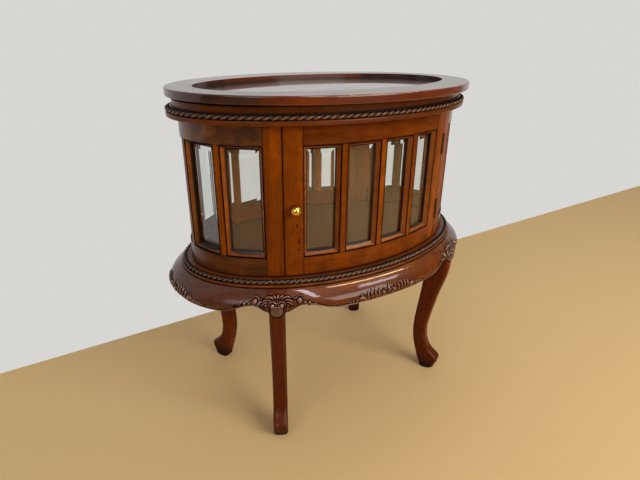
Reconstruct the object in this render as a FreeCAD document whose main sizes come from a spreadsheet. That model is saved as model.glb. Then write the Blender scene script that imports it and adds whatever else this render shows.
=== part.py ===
import FreeCAD, Part
import math
import os

Vector = FreeCAD.Vector
Rotation = FreeCAD.Rotation
Placement = FreeCAD.Placement

# Oval glazed display cabinet on four cabriole legs, with a lift-off tray top.
# Frame: +Z up, floor at Z = 0, X along the long axis, door on -Y, origin at the centre of the footprint.
# Each oval is the case's oval pushed outwards by a reach, so all mouldings follow one plan.

sizes = {
    # plan of the case: outer face of the glazed wall
    "caseHalfLength": 338.0,
    "caseHalfDepth": 207.0,
    "wall": 26.0,
    # heights of the stack
    "legHeight": 379.0,
    "floorBandHeight": 6.5,
    "floorLedgeHeight": 8.0,
    "floorFieldHeight": 2.0,
    "wallHeight": 306.5,
    "topBandHeight": 10.0,
    "topStepHeight": 9.5,
    "neckHeight": 13.5,
    "restBoardHeight": 4.7,
    # reach of each oval beyond the case
    "floorBandReach": 23.5,
    "floorBandRound": 2.4,
    "floorLedgeReach": 12.0,
    "floorFieldPlay": 0.8,
    "topBandReach": 22.0,
    "topBandRound": 2.6,
    "topStepReach": 13.5,
    "neckReach": 9.0,
    "neckWall": 25.0,
    "restBoardInset": 3.0,
    "upperRopeRadius": 4.8,
    "lowerRopeRadius": 4.5,
    "ropeSeat": 0.3,
    # glazing
    "bottomRail": 41.2,
    "topRail": 38.5,
    "doorShare": 0.4877,
    "frontMullion": 13.0,
    "stile": 39.1,
    "post": 35.9,
    "endMullion": 14.0,
    "doorGap": 1.5,
    "doorFloorGap": 1.3,
    "doorHeadGap": 1.2,
    "glassDepth": 12.5,
    "glassThickness": 4.0,
    "glassPlay": 0.3,
    "bevelWidth": 18.0,
    "bevelDepth": 2.2,
    "rebateLip": 6.0,
    "beadSetback": 1.0,
    "beadWidth": 9.5,
    "beadNose": 2.4,
    # tray
    "trayEndOverhang": 20.0,
    "traySideOverhang": 43.0,
    "trayThickness": 16.3,
    "trayRimEnds": 53.0,
    "trayRimSides": 76.0,
    "trayPanelThickness": 4.0,
    "trayTongueThickness": 3.0,
    "trayPanelLap": 9.0,
    "trayPanelPlay": 0.3,
    "trayJointAngle": 45.0,
    "trayEdgeRadius": 3.0,
    # apron
    "apronDepth": 53.0,
    "apronTopReach": 25.0,
    "apronBulge": 53.0,
    "apronToeReach": 37.0,
    "apronInnerReach": 8.0,
    "cabochonHalfWidth": 13.5,
    "cabochonHalfHeight": 15.0,
    "cabochonDepth": 8.5,
    "cabochonInset": 4.0,
    "cabochonRise": 17.0,
    "apronFrontRise": 11.5,
    "apronEndRise": 4.0,
    "apronPeakRise": 28.5,
    # legs
    "legAngle": 51.0,
    "legWidth": 34.0,
    "legPostInset": 63.0,
    "kneeSetback": 1.5,
    "footSetback": 33.0,
    "cornerBlockWidth": 26.0,
    "cornerBlockHeight": 30.0,
    # door furniture
    "knobHeight": 540.0,
    "knobInset": 22.0,
    "knobRadius": 10.0,
    "knobLength": 25.0,
    "knobRoseRadius": 7.2,
    "knobRoseThickness": 1.5,
    "knobNeckRadius": 3.8,
    "knobScrewRadius": 2.0,
    "knobScrewReach": 8.0,
    "hingeLength": 48.0,
    "hingeLeafWidth": 20.0,
    "hingeLeafThickness": 1.3,
    "hingeKnuckleRadius": 2.9,
    "hingeKnucklePlay": 0.4,
    "hingePinRadius": 1.3,
    "hingePinPlay": 0.05,
    "hingeAxisProud": 0.5,
    "upperHingeDrop": 78.0,
    "lowerHingeRise": 73.0,
    "catchLength": 46.0,
    "catchWidth": 13.0,
    "catchHeight": 14.0,
    "catchPlay": 0.5,
    "strikeLength": 40.0,
    "strikeHeight": 12.0,
    "strikeThickness": 1.2,
    "strikeSink": 0.4,
}

doc = FreeCAD.newDocument("DisplayTable")
sheet = doc.addObject("Spreadsheet::Sheet", "Sizes")
for row, (alias, value) in enumerate(sizes.items(), start=1):
    sheet.set("A%d" % row, alias)
    sheet.set("B%d" % row, str(value))
    sheet.setAlias("B%d" % row, alias)
doc.recompute()


def read(alias):
    return float(sheet.get(alias))


# Heights that several pieces share, as sheet expressions and as numbers.
ledgeTop = "Sizes.legHeight + Sizes.floorBandHeight + Sizes.floorLedgeHeight"
wallTop = ledgeTop + " + Sizes.wallHeight"
openingBottom = ledgeTop + " + Sizes.bottomRail"
openingTop = wallTop + " - Sizes.topRail"
openingHeight = "Sizes.wallHeight - Sizes.bottomRail - Sizes.topRail"
stepBottom = wallTop + " + Sizes.topBandHeight"
neckBottom = stepBottom + " + Sizes.topStepHeight"
restBottom = neckBottom + " + Sizes.neckHeight"
trayBottom = restBottom + " + Sizes.restBoardHeight"
ledgeTopZ = read("legHeight") + read("floorBandHeight") + read("floorLedgeHeight")
wallTopZ = ledgeTopZ + read("wallHeight")
openingBottomZ = ledgeTopZ + read("bottomRail")
openingTopZ = wallTopZ - read("topRail")

nodes = []


def keep(piece):
    """Marks a finished sub-part, which is written out under its Label."""
    nodes.append(piece)
    return piece


def ovalSolid(name, reach, bottom, height):
    """Solid oval board: the case's oval pushed out by reach."""
    outline = doc.addObject("Part::Ellipse", name + "_outline")
    outline.setExpression("MajorRadius", "Sizes.caseHalfLength + " + reach)
    outline.setExpression("MinorRadius", "Sizes.caseHalfDepth + " + reach)
    outline.setExpression("Placement.Base.z", bottom)
    return extrude(name, outline, height)


def extrude(name, outline, height):
    """Upright extrusion of a closed outline by a sheet expression."""
    solid = doc.addObject("Part::Extrusion", name)
    solid.Base = outline
    solid.DirMode = "Custom"
    solid.Dir = Vector(0, 0, 1)
    solid.Solid = True
    solid.setExpression("LengthFwd", height)
    return solid


def softened(name, board, radius):
    """A board with the level edges round its rim rounded over by a sheet radius."""
    rounding = doc.addObject("Part::Fillet", name)
    rounding.Base = board
    doc.recompute()
    rounding.Edges = [
        (index + 1, read(radius), read(radius))
        for index, edge in enumerate(board.Shape.Edges)
        if edge.BoundBox.ZLength < 0.01
    ]
    return rounding


def cut(name, base, tool):
    result = doc.addObject("Part::Cut", name)
    result.Base = base
    result.Tool = tool
    return result


def common(name, base, tool):
    result = doc.addObject("Part::Common", name)
    result.Base = base
    result.Tool = tool
    return result


def fuse(name, *shapes):
    result = doc.addObject("Part::MultiFuse", name)
    result.Shapes = list(shapes)
    return result


def group(name, pieces):
    """Several separate solids in one node."""
    result = doc.addObject("Part::Compound", name)
    result.Links = pieces
    return result


def mirrored(name, source, across):
    """Mirror image of a sub-part in the plane through the origin that is square to a direction."""
    result = doc.addObject("Part::Mirroring", name)
    result.Source = source
    result.Base = Vector(0, 0, 0)
    result.Normal = across
    return result


def plate(name, outline, bottom, height):
    """Upright plate from a plan outline drawn in a sketch."""
    plan = doc.addObject("Sketcher::SketchObject", name + "_plan")
    plan.addGeometry(outline, False)
    plan.setExpression("Placement.Base.z", bottom)
    return extrude(name, plan, height)


def lines(points):
    return [Part.LineSegment(start, end) for start, end in zip(points, points[1:])]


def box(name, length, width, height, bottom, place):
    """Box centred on X, from Y = 0, with its place in the plan and its bottom from the sheet."""
    solid = doc.addObject("Part::Box", name)
    solid.setExpression("Length", length)
    solid.setExpression("Width", width)
    solid.setExpression("Height", height)
    doc.recompute()
    solid.Placement = place.multiply(Placement(Vector(-solid.Length.Value / 2, 0, 0), Rotation()))
    solid.setExpression("Placement.Base.z", bottom)
    return solid


# ---- plan geometry: arc lengths along the case's oval, from the middle of the door to the right ----

halfLength = read("caseHalfLength")
halfDepth = read("caseHalfDepth")
arcSteps = 3600


def buildArcTable():
    """Arc length from the front middle to the right end, at equal steps of the eccentric angle."""
    table = [0.0]
    step = math.pi / 2 / arcSteps
    for index in range(arcSteps):
        angle = -math.pi / 2 + (index + 0.5) * step
        speed = math.hypot(halfLength * math.sin(angle), halfDepth * math.cos(angle))
        table.append(table[-1] + step * speed)
    return table


arcTable = buildArcTable()
quarter = arcTable[-1]


def angleAt(arc):
    """Eccentric angle of a point on the oval at an arc length from the front middle."""
    if arc < 0:
        return -math.pi - angleAt(-arc)
    if arc > quarter:
        return -angleAt(2 * quarter - arc)
    low, high = 0, arcSteps
    while high - low > 1:
        middle = (low + high) // 2
        if arcTable[middle] <= arc:
            low = middle
        else:
            high = middle
    share = (arc - arcTable[low]) / (arcTable[high] - arcTable[low])
    return -math.pi / 2 + (low + share) * math.pi / 2 / arcSteps


def ovalPoint(angle, reach=0.0):
    return Vector((halfLength + reach) * math.cos(angle), (halfDepth + reach) * math.sin(angle), 0)


def outwardAt(angle, reach=0.0):
    """Unit normal of the oval at an eccentric angle."""
    normal = Vector(math.cos(angle) / (halfLength + reach), math.sin(angle) / (halfDepth + reach), 0)
    return normal.normalize()


def innerHit(start, direction):
    """Where a line from start meets the inner face of the wall."""
    a = halfLength - read("wall")
    b = halfDepth - read("wall")
    square = (direction.x / a) ** 2 + (direction.y / b) ** 2
    linear = start.x * direction.x / a**2 + start.y * direction.y / b**2
    constant = (start.x / a) ** 2 + (start.y / b) ** 2 - 1
    travel = (-linear - math.sqrt(linear**2 - square * constant)) / square
    return start + direction * travel


class Bay:
    """One glazed opening: its chord on the oval, the direction along it and the outward normal."""

    def __init__(self, leftArc, rightArc):
        self.arcs = (leftArc, rightArc)
        left = ovalPoint(angleAt(leftArc))
        right = ovalPoint(angleAt(rightArc))
        self.ends = (left, right)
        self.width = (right - left).Length
        self.along = (right - left).normalize()
        self.inward = Vector(-self.along.y, self.along.x, 0)
        self.middle = (left + right) * 0.5

    def place(self):
        """Placement with X along the chord, Y into the case and Z up."""
        turn = math.degrees(math.atan2(self.along.y, self.along.x))
        return Placement(self.middle, Rotation(Vector(0, 0, 1), turn))

    def cheek(self, side):
        """Plain side of the opening, from the outer face of the wall inwards. Side 0 is left, 1 right."""
        outer = self.ends[side]
        return [outer, innerHit(outer, self.inward)]

    def lippedCheek(self, side):
        """Side of the opening with the rebate lip that stands behind the glass."""
        outer = self.ends[side]
        into = self.along * (read("rebateLip") * (1 if side == 0 else -1))
        behindGlass = outer + self.inward * (read("glassDepth") + read("glassThickness"))
        lip = behindGlass + into
        return [outer, behindGlass, lip, innerHit(lip, self.inward)]


def makeBays(centre, pane, mullion):
    """Four equal openings, symmetrical about an arc length."""
    bays = []
    for index in range(4):
        start = centre + (index - 2) * (pane + mullion) + mullion / 2
        bays.append(Bay(start, start + pane))
    return bays


# The door takes its share of the quarter oval. The panes fill what the stiles, posts and mullions leave.
doorHalf = quarter * read("doorShare")
frontPane = (doorHalf - read("stile") - 1.5 * read("frontMullion")) / 2
endPane = (quarter - doorHalf - read("post") - 1.5 * read("endMullion")) / 2
frontBays = makeBays(0, frontPane, read("frontMullion"))
backBays = makeBays(2 * quarter, frontPane, read("frontMullion"))
rightBays = makeBays(quarter, endPane, read("endMullion"))
leftBays = makeBays(-quarter, endPane, read("endMullion"))


def squareCheek(arc, shift=0.0):
    """Side of a wall piece cut square to the oval at an arc length, shifted sideways along the oval."""
    inward = outwardAt(angleAt(arc)) * -1
    outer = ovalPoint(angleAt(arc + shift))
    return [outer, innerHit(outer, inward)]


def angleOf(point, reach, near):
    """Eccentric angle of a point on an oval of that reach, in the same turn as near."""
    angle = math.atan2(point.y / (halfDepth + reach), point.x / (halfLength + reach))
    return angle + 2 * math.pi * round((near - angle) / (2 * math.pi))


def wallOutline(leftCheek, rightCheek, leftArc):
    """Closed plan outline of a wall piece: outer arc, right cheek, inner arc, left cheek."""
    near = angleAt(leftArc)
    outerOval = Part.Ellipse(Vector(0, 0, 0), halfLength, halfDepth)
    innerOval = Part.Ellipse(Vector(0, 0, 0), halfLength - read("wall"), halfDepth - read("wall"))
    outerStart = angleOf(leftCheek[0], 0, near)
    outerEnd = angleOf(rightCheek[0], 0, near + 0.01)
    innerStart = angleOf(leftCheek[-1], -read("wall"), near)
    innerEnd = angleOf(rightCheek[-1], -read("wall"), near + 0.01)
    if outerEnd < outerStart:
        outerEnd += 2 * math.pi
    if innerEnd < innerStart:
        innerEnd += 2 * math.pi
    edges = [Part.ArcOfEllipse(outerOval, outerStart, outerEnd)]
    edges += lines(rightCheek)
    edges.append(Part.ArcOfEllipse(innerOval, innerStart, innerEnd))
    edges += lines(leftCheek)
    return edges


def lipOutline(bay, side):
    """Plan outline of the rebate lip on one side of an opening."""
    plain = bay.cheek(side)
    outer, behindGlass, lip, lipInner = bay.lippedCheek(side)
    reach = -read("wall")
    near = angleAt(bay.arcs[side])
    angles = sorted([angleOf(plain[1], reach, near), angleOf(lipInner, reach, near)])
    innerOval = Part.Ellipse(Vector(0, 0, 0), halfLength + reach, halfDepth + reach)
    return [
        Part.LineSegment(plain[1], behindGlass),
        Part.LineSegment(behindGlass, lip),
        Part.LineSegment(lip, lipInner),
        Part.ArcOfEllipse(innerOval, angles[0], angles[1]),
    ]


def sillOutline(bay):
    """Plan outline of the rebate lip along the bottom or the top of an opening."""
    left = bay.lippedCheek(0)
    right = bay.lippedCheek(1)
    reach = -read("wall")
    near = angleAt(bay.arcs[0])
    innerOval = Part.Ellipse(Vector(0, 0, 0), halfLength + reach, halfDepth + reach)
    arc = Part.ArcOfEllipse(innerOval, angleOf(left[3], reach, near), angleOf(right[3], reach, near + 0.01))
    return [
        Part.LineSegment(left[2], right[2]),
        Part.LineSegment(right[2], right[3]),
        arc,
        Part.LineSegment(left[3], left[2]),
    ]


# ---- glazed frames ----


def upright(name, bay, side, freeArc, gap, bottom, height):
    """Full-height stile or post between an opening's side and a square end, with a rebate lip for the glass.

    Side 0 puts it left of the opening and 1 right of it. The square end stands back from freeArc by the gap.
    """
    cheek = bay.cheek(side)
    if side == 0:
        outline = wallOutline(squareCheek(freeArc, gap), cheek, freeArc)
    else:
        outline = wallOutline(cheek, squareCheek(freeArc, -gap), bay.arcs[1])
    body = plate(name + "_body", outline, bottom, height)
    lip = plate(name + "_lip", lipOutline(bay, side), openingBottom, openingHeight)
    return fuse(name, body, lip)


def rail(name, bays, bottom, height, lipBottom):
    """Curved rail above or below a run of openings, with a rebate lip behind the edge of each pane."""
    outline = wallOutline(bays[0].cheek(0), bays[-1].cheek(1), bays[0].arcs[0])
    pieces = [plate(name + "_body", outline, bottom, height)]
    for index, bay in enumerate(bays):
        pieces.append(plate("%s_lip_%d" % (name, index + 1), sillOutline(bay), lipBottom, "Sizes.rebateLip"))
    return fuse(name, *pieces)


def mullions(name, bays):
    """Three upright bars between four openings, rebated on both sides."""
    bars = []
    for index in range(3):
        left = bays[index]
        right = bays[index + 1]
        outline = wallOutline(left.lippedCheek(1), right.lippedCheek(0), left.arcs[1])
        bars.append(plate("%s_%d" % (name, index + 1), outline, openingBottom, openingHeight))
    return keep(group(name, bars))


def panes(name, bays):
    """Flat glass with a wide shallow bevel round its outer face."""
    glass = []
    for index, bay in enumerate(bays):
        stem = "%s_%d" % (name, index + 1)
        half = bay.width / 2 - read("glassPlay")
        low = openingBottom + " + Sizes.glassPlay"
        high = openingTop + " - Sizes.glassPlay"
        bevel = doc.addObject("Part::Wedge", stem + "_bevel")
        bevel.setExpression("Ymin", "Sizes.glassDepth")
        bevel.setExpression("Ymax", "Sizes.glassDepth + Sizes.bevelDepth")
        bevel.setExpression("X2min", "%r" % -half)
        bevel.setExpression("X2max", "%r" % half)
        bevel.setExpression("Xmin", "%r + Sizes.bevelWidth" % -half)
        bevel.setExpression("Xmax", "%r - Sizes.bevelWidth" % half)
        bevel.setExpression("Z2min", low)
        bevel.setExpression("Z2max", high)
        bevel.setExpression("Zmin", low + " + Sizes.bevelWidth")
        bevel.setExpression("Zmax", high + " - Sizes.bevelWidth")
        back = doc.addObject("Part::Box", stem + "_back")
        back.setExpression("Length", "%r" % (2 * half))
        back.setExpression("Width", "Sizes.glassThickness - Sizes.bevelDepth")
        back.setExpression("Height", openingHeight + " - 2 * Sizes.glassPlay")
        back.setExpression("Placement.Base.x", "%r" % -half)
        back.setExpression("Placement.Base.y", "Sizes.glassDepth + Sizes.bevelDepth")
        back.setExpression("Placement.Base.z", low)
        pane = fuse(stem, bevel, back)
        pane.Placement = bay.place()
        glass.append(pane)
    return keep(group(name, glass))


def beadStrip(halfRun, halfAcross, section, placeAt):
    """One mitred bead: the section swept between its two mitre planes."""
    ends = []
    for direction in (-1, 1):
        points = [placeAt(direction * (halfRun - into), halfAcross - into, depth) for into, depth in section]
        ends.append(Part.makePolygon(points + points[:1]))
    return Part.makeLoft(ends, True, True)


def beads(name, bays):
    """Four mitred glazing beads round each opening, with an ogee face towards the glass."""
    deep = read("glassDepth")
    face = read("beadSetback")
    nose = read("beadNose")
    width = read("beadWidth")

    def glassAt(into):
        """Depth of the bevelled glass at a distance in from the opening's edge."""
        return deep + read("bevelDepth") * (1 - (into - read("glassPlay")) / read("bevelWidth"))

    section = [
        (0, face),
        (nose, face),
        (nose + 0.15 * width, face + 0.22 * (deep - face)),
        (nose + 0.40 * width, face + 0.52 * (deep - face)),
        (width, face + 0.72 * (deep - face)),
        (width, glassAt(width)),
        (0, glassAt(0)),
    ]
    middleZ = (openingBottomZ + openingTopZ) / 2
    halfHeight = (openingTopZ - openingBottomZ) / 2
    strips = []
    for bay in bays:
        half = bay.width / 2
        frame = [
            beadStrip(halfHeight, half, section, lambda run, across, depth: Vector(-across, depth, run)),
            beadStrip(halfHeight, half, section, lambda run, across, depth: Vector(across, depth, run)),
            beadStrip(half, halfHeight, section, lambda run, across, depth: Vector(run, depth, -across)),
            beadStrip(half, halfHeight, section, lambda run, across, depth: Vector(run, depth, across)),
        ]
        for strip in frame:
            strip.Placement = Placement(Vector(0, 0, middleZ), Rotation())
            strip.Placement = bay.place().multiply(strip.Placement)
            strips.append(strip)
    feature = doc.addObject("Part::Feature", name)
    feature.Shape = Part.makeCompound(strips)
    feature.Placement = Placement()
    return keep(feature)


def glazing(prefix, bays, railBottom, railTop):
    """Rails, mullions, panes and beads of one glazed frame. The rails reach from railBottom to railTop."""
    bottomHeight = openingBottom + " - (" + railBottom + ")"
    topHeight = railTop + " - (" + openingTop + ")"
    keep(rail(prefix + "_bottom_rail", bays, railBottom, bottomHeight, openingBottom))
    keep(rail(prefix + "_top_rail", bays, openingTop, topHeight, openingTop + " - Sizes.rebateLip"))
    mullions(prefix + "_mullions", bays)
    panes(prefix + "_panes", bays)
    beads(prefix + "_glazing_beads", bays)


doorBottom = ledgeTop + " + Sizes.doorFloorGap"
doorTop = wallTop + " - Sizes.doorHeadGap"
glazing("door", frontBays, doorBottom, doorTop)
glazing("back", backBays, ledgeTop, wallTop)
glazing("left_end", leftBays, ledgeTop, wallTop)
glazing("right_end", rightBays, ledgeTop, wallTop)

halfGap = read("doorGap") / 2
doorHeight = "Sizes.wallHeight - Sizes.doorFloorGap - Sizes.doorHeadGap"
backCentre = 2 * quarter

caseHeight = "Sizes.wallHeight"
lockStile = upright("lock_stile_blank", frontBays[0], 0, -doorHalf, halfGap, doorBottom, doorHeight)
hingeStile = upright("hinge_stile_blank", frontBays[3], 1, doorHalf, halfGap, doorBottom, doorHeight)
hingePost = upright("hinge_post_blank", rightBays[0], 0, doorHalf, halfGap, ledgeTop, caseHeight)
keep(upright("front_left_post", leftBays[3], 1, -doorHalf, halfGap, ledgeTop, caseHeight))
keep(upright("back_right_post", rightBays[3], 1, backCentre - doorHalf, 0, ledgeTop, caseHeight))
keep(upright("back_left_post", leftBays[0], 0, doorHalf - backCentre, 0, ledgeTop, caseHeight))
keep(upright("back_right_stile", backBays[0], 0, backCentre - doorHalf, 0, ledgeTop, caseHeight))
keep(upright("back_left_stile", backBays[3], 1, backCentre + doorHalf, 0, ledgeTop, caseHeight))

# ---- hinges: two butt hinges in the right-hand gap of the door ----

hingeAngle = angleAt(doorHalf)
hingeOut = outwardAt(hingeAngle)
hingeAlong = Vector(-hingeOut.y, hingeOut.x, 0)
hingeAxis = ovalPoint(hingeAngle) + hingeOut * read("hingeAxisProud")
hingeTurn = math.degrees(math.atan2(hingeAlong.y, hingeAlong.x))
hingePlace = Placement(hingeAxis, Rotation(Vector(0, 0, 1), hingeTurn))
hingeBottoms = {
    "lower": ledgeTop + " + Sizes.lowerHingeRise - Sizes.hingeLength / 2",
    "upper": wallTop + " - Sizes.upperHingeDrop - Sizes.hingeLength / 2",
}
knuckles = 5
knuckleGap = 0.3
knuckleSpace = "Sizes.hingeKnuckleRadius + Sizes.hingeKnucklePlay"


def hingeCylinder(name, radius, bottom, height="Sizes.hingeLength"):
    solid = doc.addObject("Part::Cylinder", name)
    solid.setExpression("Radius", radius)
    solid.setExpression("Height", height)
    solid.Placement = hingePlace
    solid.setExpression("Placement.Base.z", bottom)
    return solid


def hingeBox(name, start, inset, length, width, bottom, height="Sizes.hingeLength"):
    """Box beside the hinge axis: start along the wall, inset from the axis into the case."""
    solid = doc.addObject("Part::Box", name)
    solid.setExpression("Length", length)
    solid.setExpression("Width", width)
    solid.setExpression("Height", height)
    solid.Placement = hingePlace.multiply(Placement(Vector(start, inset, 0), Rotation()))
    solid.setExpression("Placement.Base.z", bottom)
    return solid


def hingeHalf(stem, side, bottom):
    """Leaf let into the edge of the stile (side -1) or post (side 1), with its knuckles and their webs."""
    thickness = read("hingeLeafThickness")
    inset = read("hingeKnuckleRadius") + read("hingeKnucklePlay")
    leafStart = halfGap if side > 0 else -halfGap - thickness
    webStart = 0 if side > 0 else leafStart
    leafWidth = "Sizes.hingeLeafWidth - (%s)" % knuckleSpace
    parts = [hingeBox(stem + "_leaf", leafStart, inset, "Sizes.hingeLeafThickness", leafWidth, bottom)]
    for index in range(knuckles):
        if (index % 2 == 0) != (side > 0):
            continue
        base = "%s + Sizes.hingeLength * %d / %d + %g" % (bottom, index, knuckles, knuckleGap / 2)
        height = "Sizes.hingeLength / %d - %g" % (knuckles, knuckleGap)
        webLength = "Sizes.doorGap / 2 + Sizes.hingeLeafThickness"
        webWidth = knuckleSpace + " + Sizes.hingeLeafThickness"
        parts.append(hingeCylinder("%s_knuckle_%d" % (stem, index), "Sizes.hingeKnuckleRadius", base, height))
        parts.append(hingeBox("%s_web_%d" % (stem, index), webStart, 0, webLength, webWidth, base, height))
    bore = hingeCylinder(stem + "_bore", "Sizes.hingePinRadius + Sizes.hingePinPlay", bottom)
    return cut(stem + "_half", fuse(stem + "_blank", *parts), bore)


def hingeRecess(stem, side, bottom):
    """Space that a hinge takes out of the wood on one side: leaf pocket and scoop for the knuckles."""
    start = halfGap if side > 0 else -halfGap - read("hingeLeafThickness")
    pocket = hingeBox(stem + "_pocket", start, 0, "Sizes.hingeLeafThickness", "Sizes.hingeLeafWidth", bottom)
    return [pocket, hingeCylinder(stem + "_scoop", knuckleSpace, bottom)]


halves = {-1: [], 1: []}
recesses = {-1: [], 1: []}
pins = []
for where, bottom in hingeBottoms.items():
    for side, half in ((-1, "door"), (1, "case")):
        stem = "%s_hinge_%s" % (where, half)
        halves[side].append(hingeHalf(stem, side, bottom))
        recesses[side] += hingeRecess(stem, side, bottom)
    pins.append(hingeCylinder(where + "_hinge_pin", "Sizes.hingePinRadius", bottom))
keep(group("hinge_leaves_on_door", halves[-1]))
keep(group("hinge_leaves_on_case", halves[1]))
keep(group("hinge_pins", pins))
keep(cut("front_right_post", hingePost, fuse("post_hinge_recess", *recesses[1])))
keep(cut("door_hinge_stile", hingeStile, fuse("stile_hinge_recess", *recesses[-1])))

# ---- knob, its screw, and the magnetic catch ----

knobArc = -doorHalf + read("knobInset")
knobAngle = angleAt(knobArc)
knobOut = outwardAt(knobAngle)
knobPlace = Placement(
    ovalPoint(knobAngle) + Vector(0, 0, read("knobHeight")), Rotation(Vector(0, 0, 1), knobOut)
)


def turned(name, profile, place):
    """Body turned about its own Z from a half profile, drawn as radius and height."""
    body = doc.addObject("PartDesign::Body", name)
    sketch = body.newObject("Sketcher::SketchObject", name + "_profile")
    plane = [feature for feature in body.Origin.OriginFeatures if feature.Role == "XZ_Plane"][0]
    sketch.AttachmentSupport = [(plane, "")]
    sketch.MapMode = "FlatFace"
    sketch.addGeometry(profile, False)
    turning = body.newObject("PartDesign::Revolution", name + "_turning")
    turning.Profile = sketch
    turning.ReferenceAxis = (sketch, ["V_Axis"])
    turning.Angle = 360
    body.Placement = place
    return body


def knobProfile():
    """Flat rose, hollow neck and ball."""
    ball = read("knobRadius")
    length = read("knobLength")
    rose = read("knobRoseRadius")
    roseTop = read("knobRoseThickness")
    neck = read("knobNeckRadius")
    ballCentre = length - ball
    neckTop = ballCentre - math.sqrt(ball**2 - neck**2)
    waist = Vector(neck - 0.4, 0.35 * roseTop + 0.65 * neckTop, 0)
    foot = Vector(rose - 1.0, roseTop, 0)
    top = Vector(neck, neckTop, 0)
    crown = Vector(0, length, 0)
    side = Vector(ball, ballCentre, 0)
    return [
        *lines([crown, Vector(0, 0, 0), Vector(rose, 0, 0), Vector(rose, roseTop, 0), foot]),
        Part.Arc(foot, waist, top),
        Part.Arc(top, side, crown),
    ]


def rod(radius, top, bottom):
    """Half profile of a plain round rod."""
    points = [Vector(0, top, 0), Vector(radius, top, 0), Vector(radius, bottom, 0), Vector(0, bottom, 0)]
    return lines(points + points[:1])


screwRadius = read("knobScrewRadius")
screwReach = read("knobScrewReach")
headRadius = 2 * screwRadius
headTop = -read("wall")
headBottom = headTop - screwRadius
beyondWall = headTop - read("wall")
knobBlank = turned("knob_blank", knobProfile(), knobPlace)
shank = turned("knob_screw_shank", rod(screwRadius, screwReach, headTop), knobPlace)
head = turned("knob_screw_head", rod(headRadius, headTop, headBottom), knobPlace)
keep(fuse("knob_screw", shank, head))
keep(cut("door_knob", knobBlank, shank))
headSpace = turned("knob_screw_head_space", rod(headRadius, headTop, beyondWall), knobPlace)
keep(cut("door_lock_stile", lockStile, fuse("knob_hole", shank, headSpace)))

catchArc = -doorHalf + read("stile") + 0.5 * read("catchLength")
catchInward = outwardAt(angleAt(catchArc)) * -1
catchFace = innerHit(ovalPoint(angleAt(catchArc)), catchInward)
catchTurn = math.degrees(math.atan2(-catchInward.x, catchInward.y))
catchPlace = Placement(catchFace, Rotation(Vector(0, 0, 1), catchTurn))
strikeProud = read("strikeThickness") - read("strikeSink")
catchInset = Placement(Vector(0, strikeProud + read("catchPlay"), 0), Rotation())
strikeInset = Placement(Vector(0, -read("strikeSink"), 0), Rotation())
keep(
    box(
        "magnetic_catch",
        "Sizes.catchLength",
        "Sizes.catchWidth",
        "Sizes.catchHeight",
        wallTop + " - Sizes.catchHeight",
        catchPlace.multiply(catchInset),
    )
)
strike = keep(
    box(
        "catch_strike_plate",
        "Sizes.strikeLength",
        "Sizes.strikeThickness",
        "Sizes.strikeHeight",
        doorTop + " - Sizes.catchHeight",
        catchPlace.multiply(strikeInset),
    )
)
topRailBlank = doc.getObject("door_top_rail")
topRailBlank.Label = "door_top_rail_blank"
nodes.remove(topRailBlank)
topRail = keep(cut("door_top_rail_notched", topRailBlank, strike))
topRail.Label = "door_top_rail"

# ---- boards, mouldings and neck ----

floorBand = ovalSolid("floor_band", "Sizes.floorBandReach", "Sizes.legHeight", "Sizes.floorBandHeight")
floorLedge = ovalSolid(
    "floor_ledge",
    "Sizes.floorLedgeReach",
    "Sizes.legHeight + Sizes.floorBandHeight",
    "Sizes.floorLedgeHeight",
)
fieldReach = "(-Sizes.wall - Sizes.floorFieldPlay)"
floorField = ovalSolid("floor_field", fieldReach, ledgeTop, "Sizes.floorFieldHeight")
softFloorBand = softened("floor_band_softened", floorBand, "floorBandRound")
floorBoard = keep(fuse("case_floor_board", softFloorBand, floorLedge, floorField))
topBand = ovalSolid("top_band", "Sizes.topBandReach", wallTop, "Sizes.topBandHeight")
topStep = ovalSolid("top_step", "Sizes.topStepReach", stepBottom, "Sizes.topStepHeight")
softTopBand = softened("top_band_softened", topBand, "topBandRound")
topBoard = keep(fuse("case_top_board", softTopBand, topStep))


def ropeMoulding(name, radius, reach, height, backing):
    """Round moulding that follows the oval, flattened where it is seated on the board behind it."""
    spine = doc.addObject("Part::Ellipse", name + "_spine")
    spine.setExpression("MajorRadius", "Sizes.caseHalfLength + " + reach)
    spine.setExpression("MinorRadius", "Sizes.caseHalfDepth + " + reach)
    spine.setExpression("Placement.Base.z", height)
    section = doc.addObject("Part::Circle", name + "_section")
    section.setExpression("Radius", radius)
    section.Placement = Placement(Vector(0, 0, 0), Rotation(Vector(1, 0, 0), 90))
    section.setExpression("Placement.Base.x", "Sizes.caseHalfLength + " + reach)
    section.setExpression("Placement.Base.z", height)
    sweep = doc.addObject("Part::Sweep", name + "_round")
    sweep.Sections = [section]
    sweep.Spine = (spine, ["Edge1"])
    sweep.Solid = True
    sweep.Frenet = False
    return keep(cut(name, sweep, backing))


def seatedRope(name, radius, reach, seatHeight, board):
    """Rope moulding that sits in the corner between a board's ledge and its face."""
    offset = "%s - Sizes.ropeSeat" % radius
    ropeMoulding(name, radius, "(%s + %s)" % (reach, offset), "%s + %s" % (seatHeight, offset), board)


seatedRope(
    "lower_rope_moulding",
    "Sizes.lowerRopeRadius",
    "Sizes.floorLedgeReach",
    "Sizes.legHeight + Sizes.floorBandHeight",
    floorBoard,
)
seatedRope("upper_rope_moulding", "Sizes.upperRopeRadius", "Sizes.topStepReach", stepBottom, topBoard)

neckOuter = ovalSolid("neck_outer", "Sizes.neckReach", neckBottom, "Sizes.neckHeight")
neckInner = ovalSolid("neck_inner", "(Sizes.neckReach - Sizes.neckWall)", neckBottom, "Sizes.neckHeight")
keep(cut("neck_frieze", neckOuter, neckInner))
keep(ovalSolid("tray_rest_board", "(-Sizes.restBoardInset)", restBottom, "Sizes.restBoardHeight"))

# ---- tray: four rim segments and a panel let into a rebate from below ----


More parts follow.
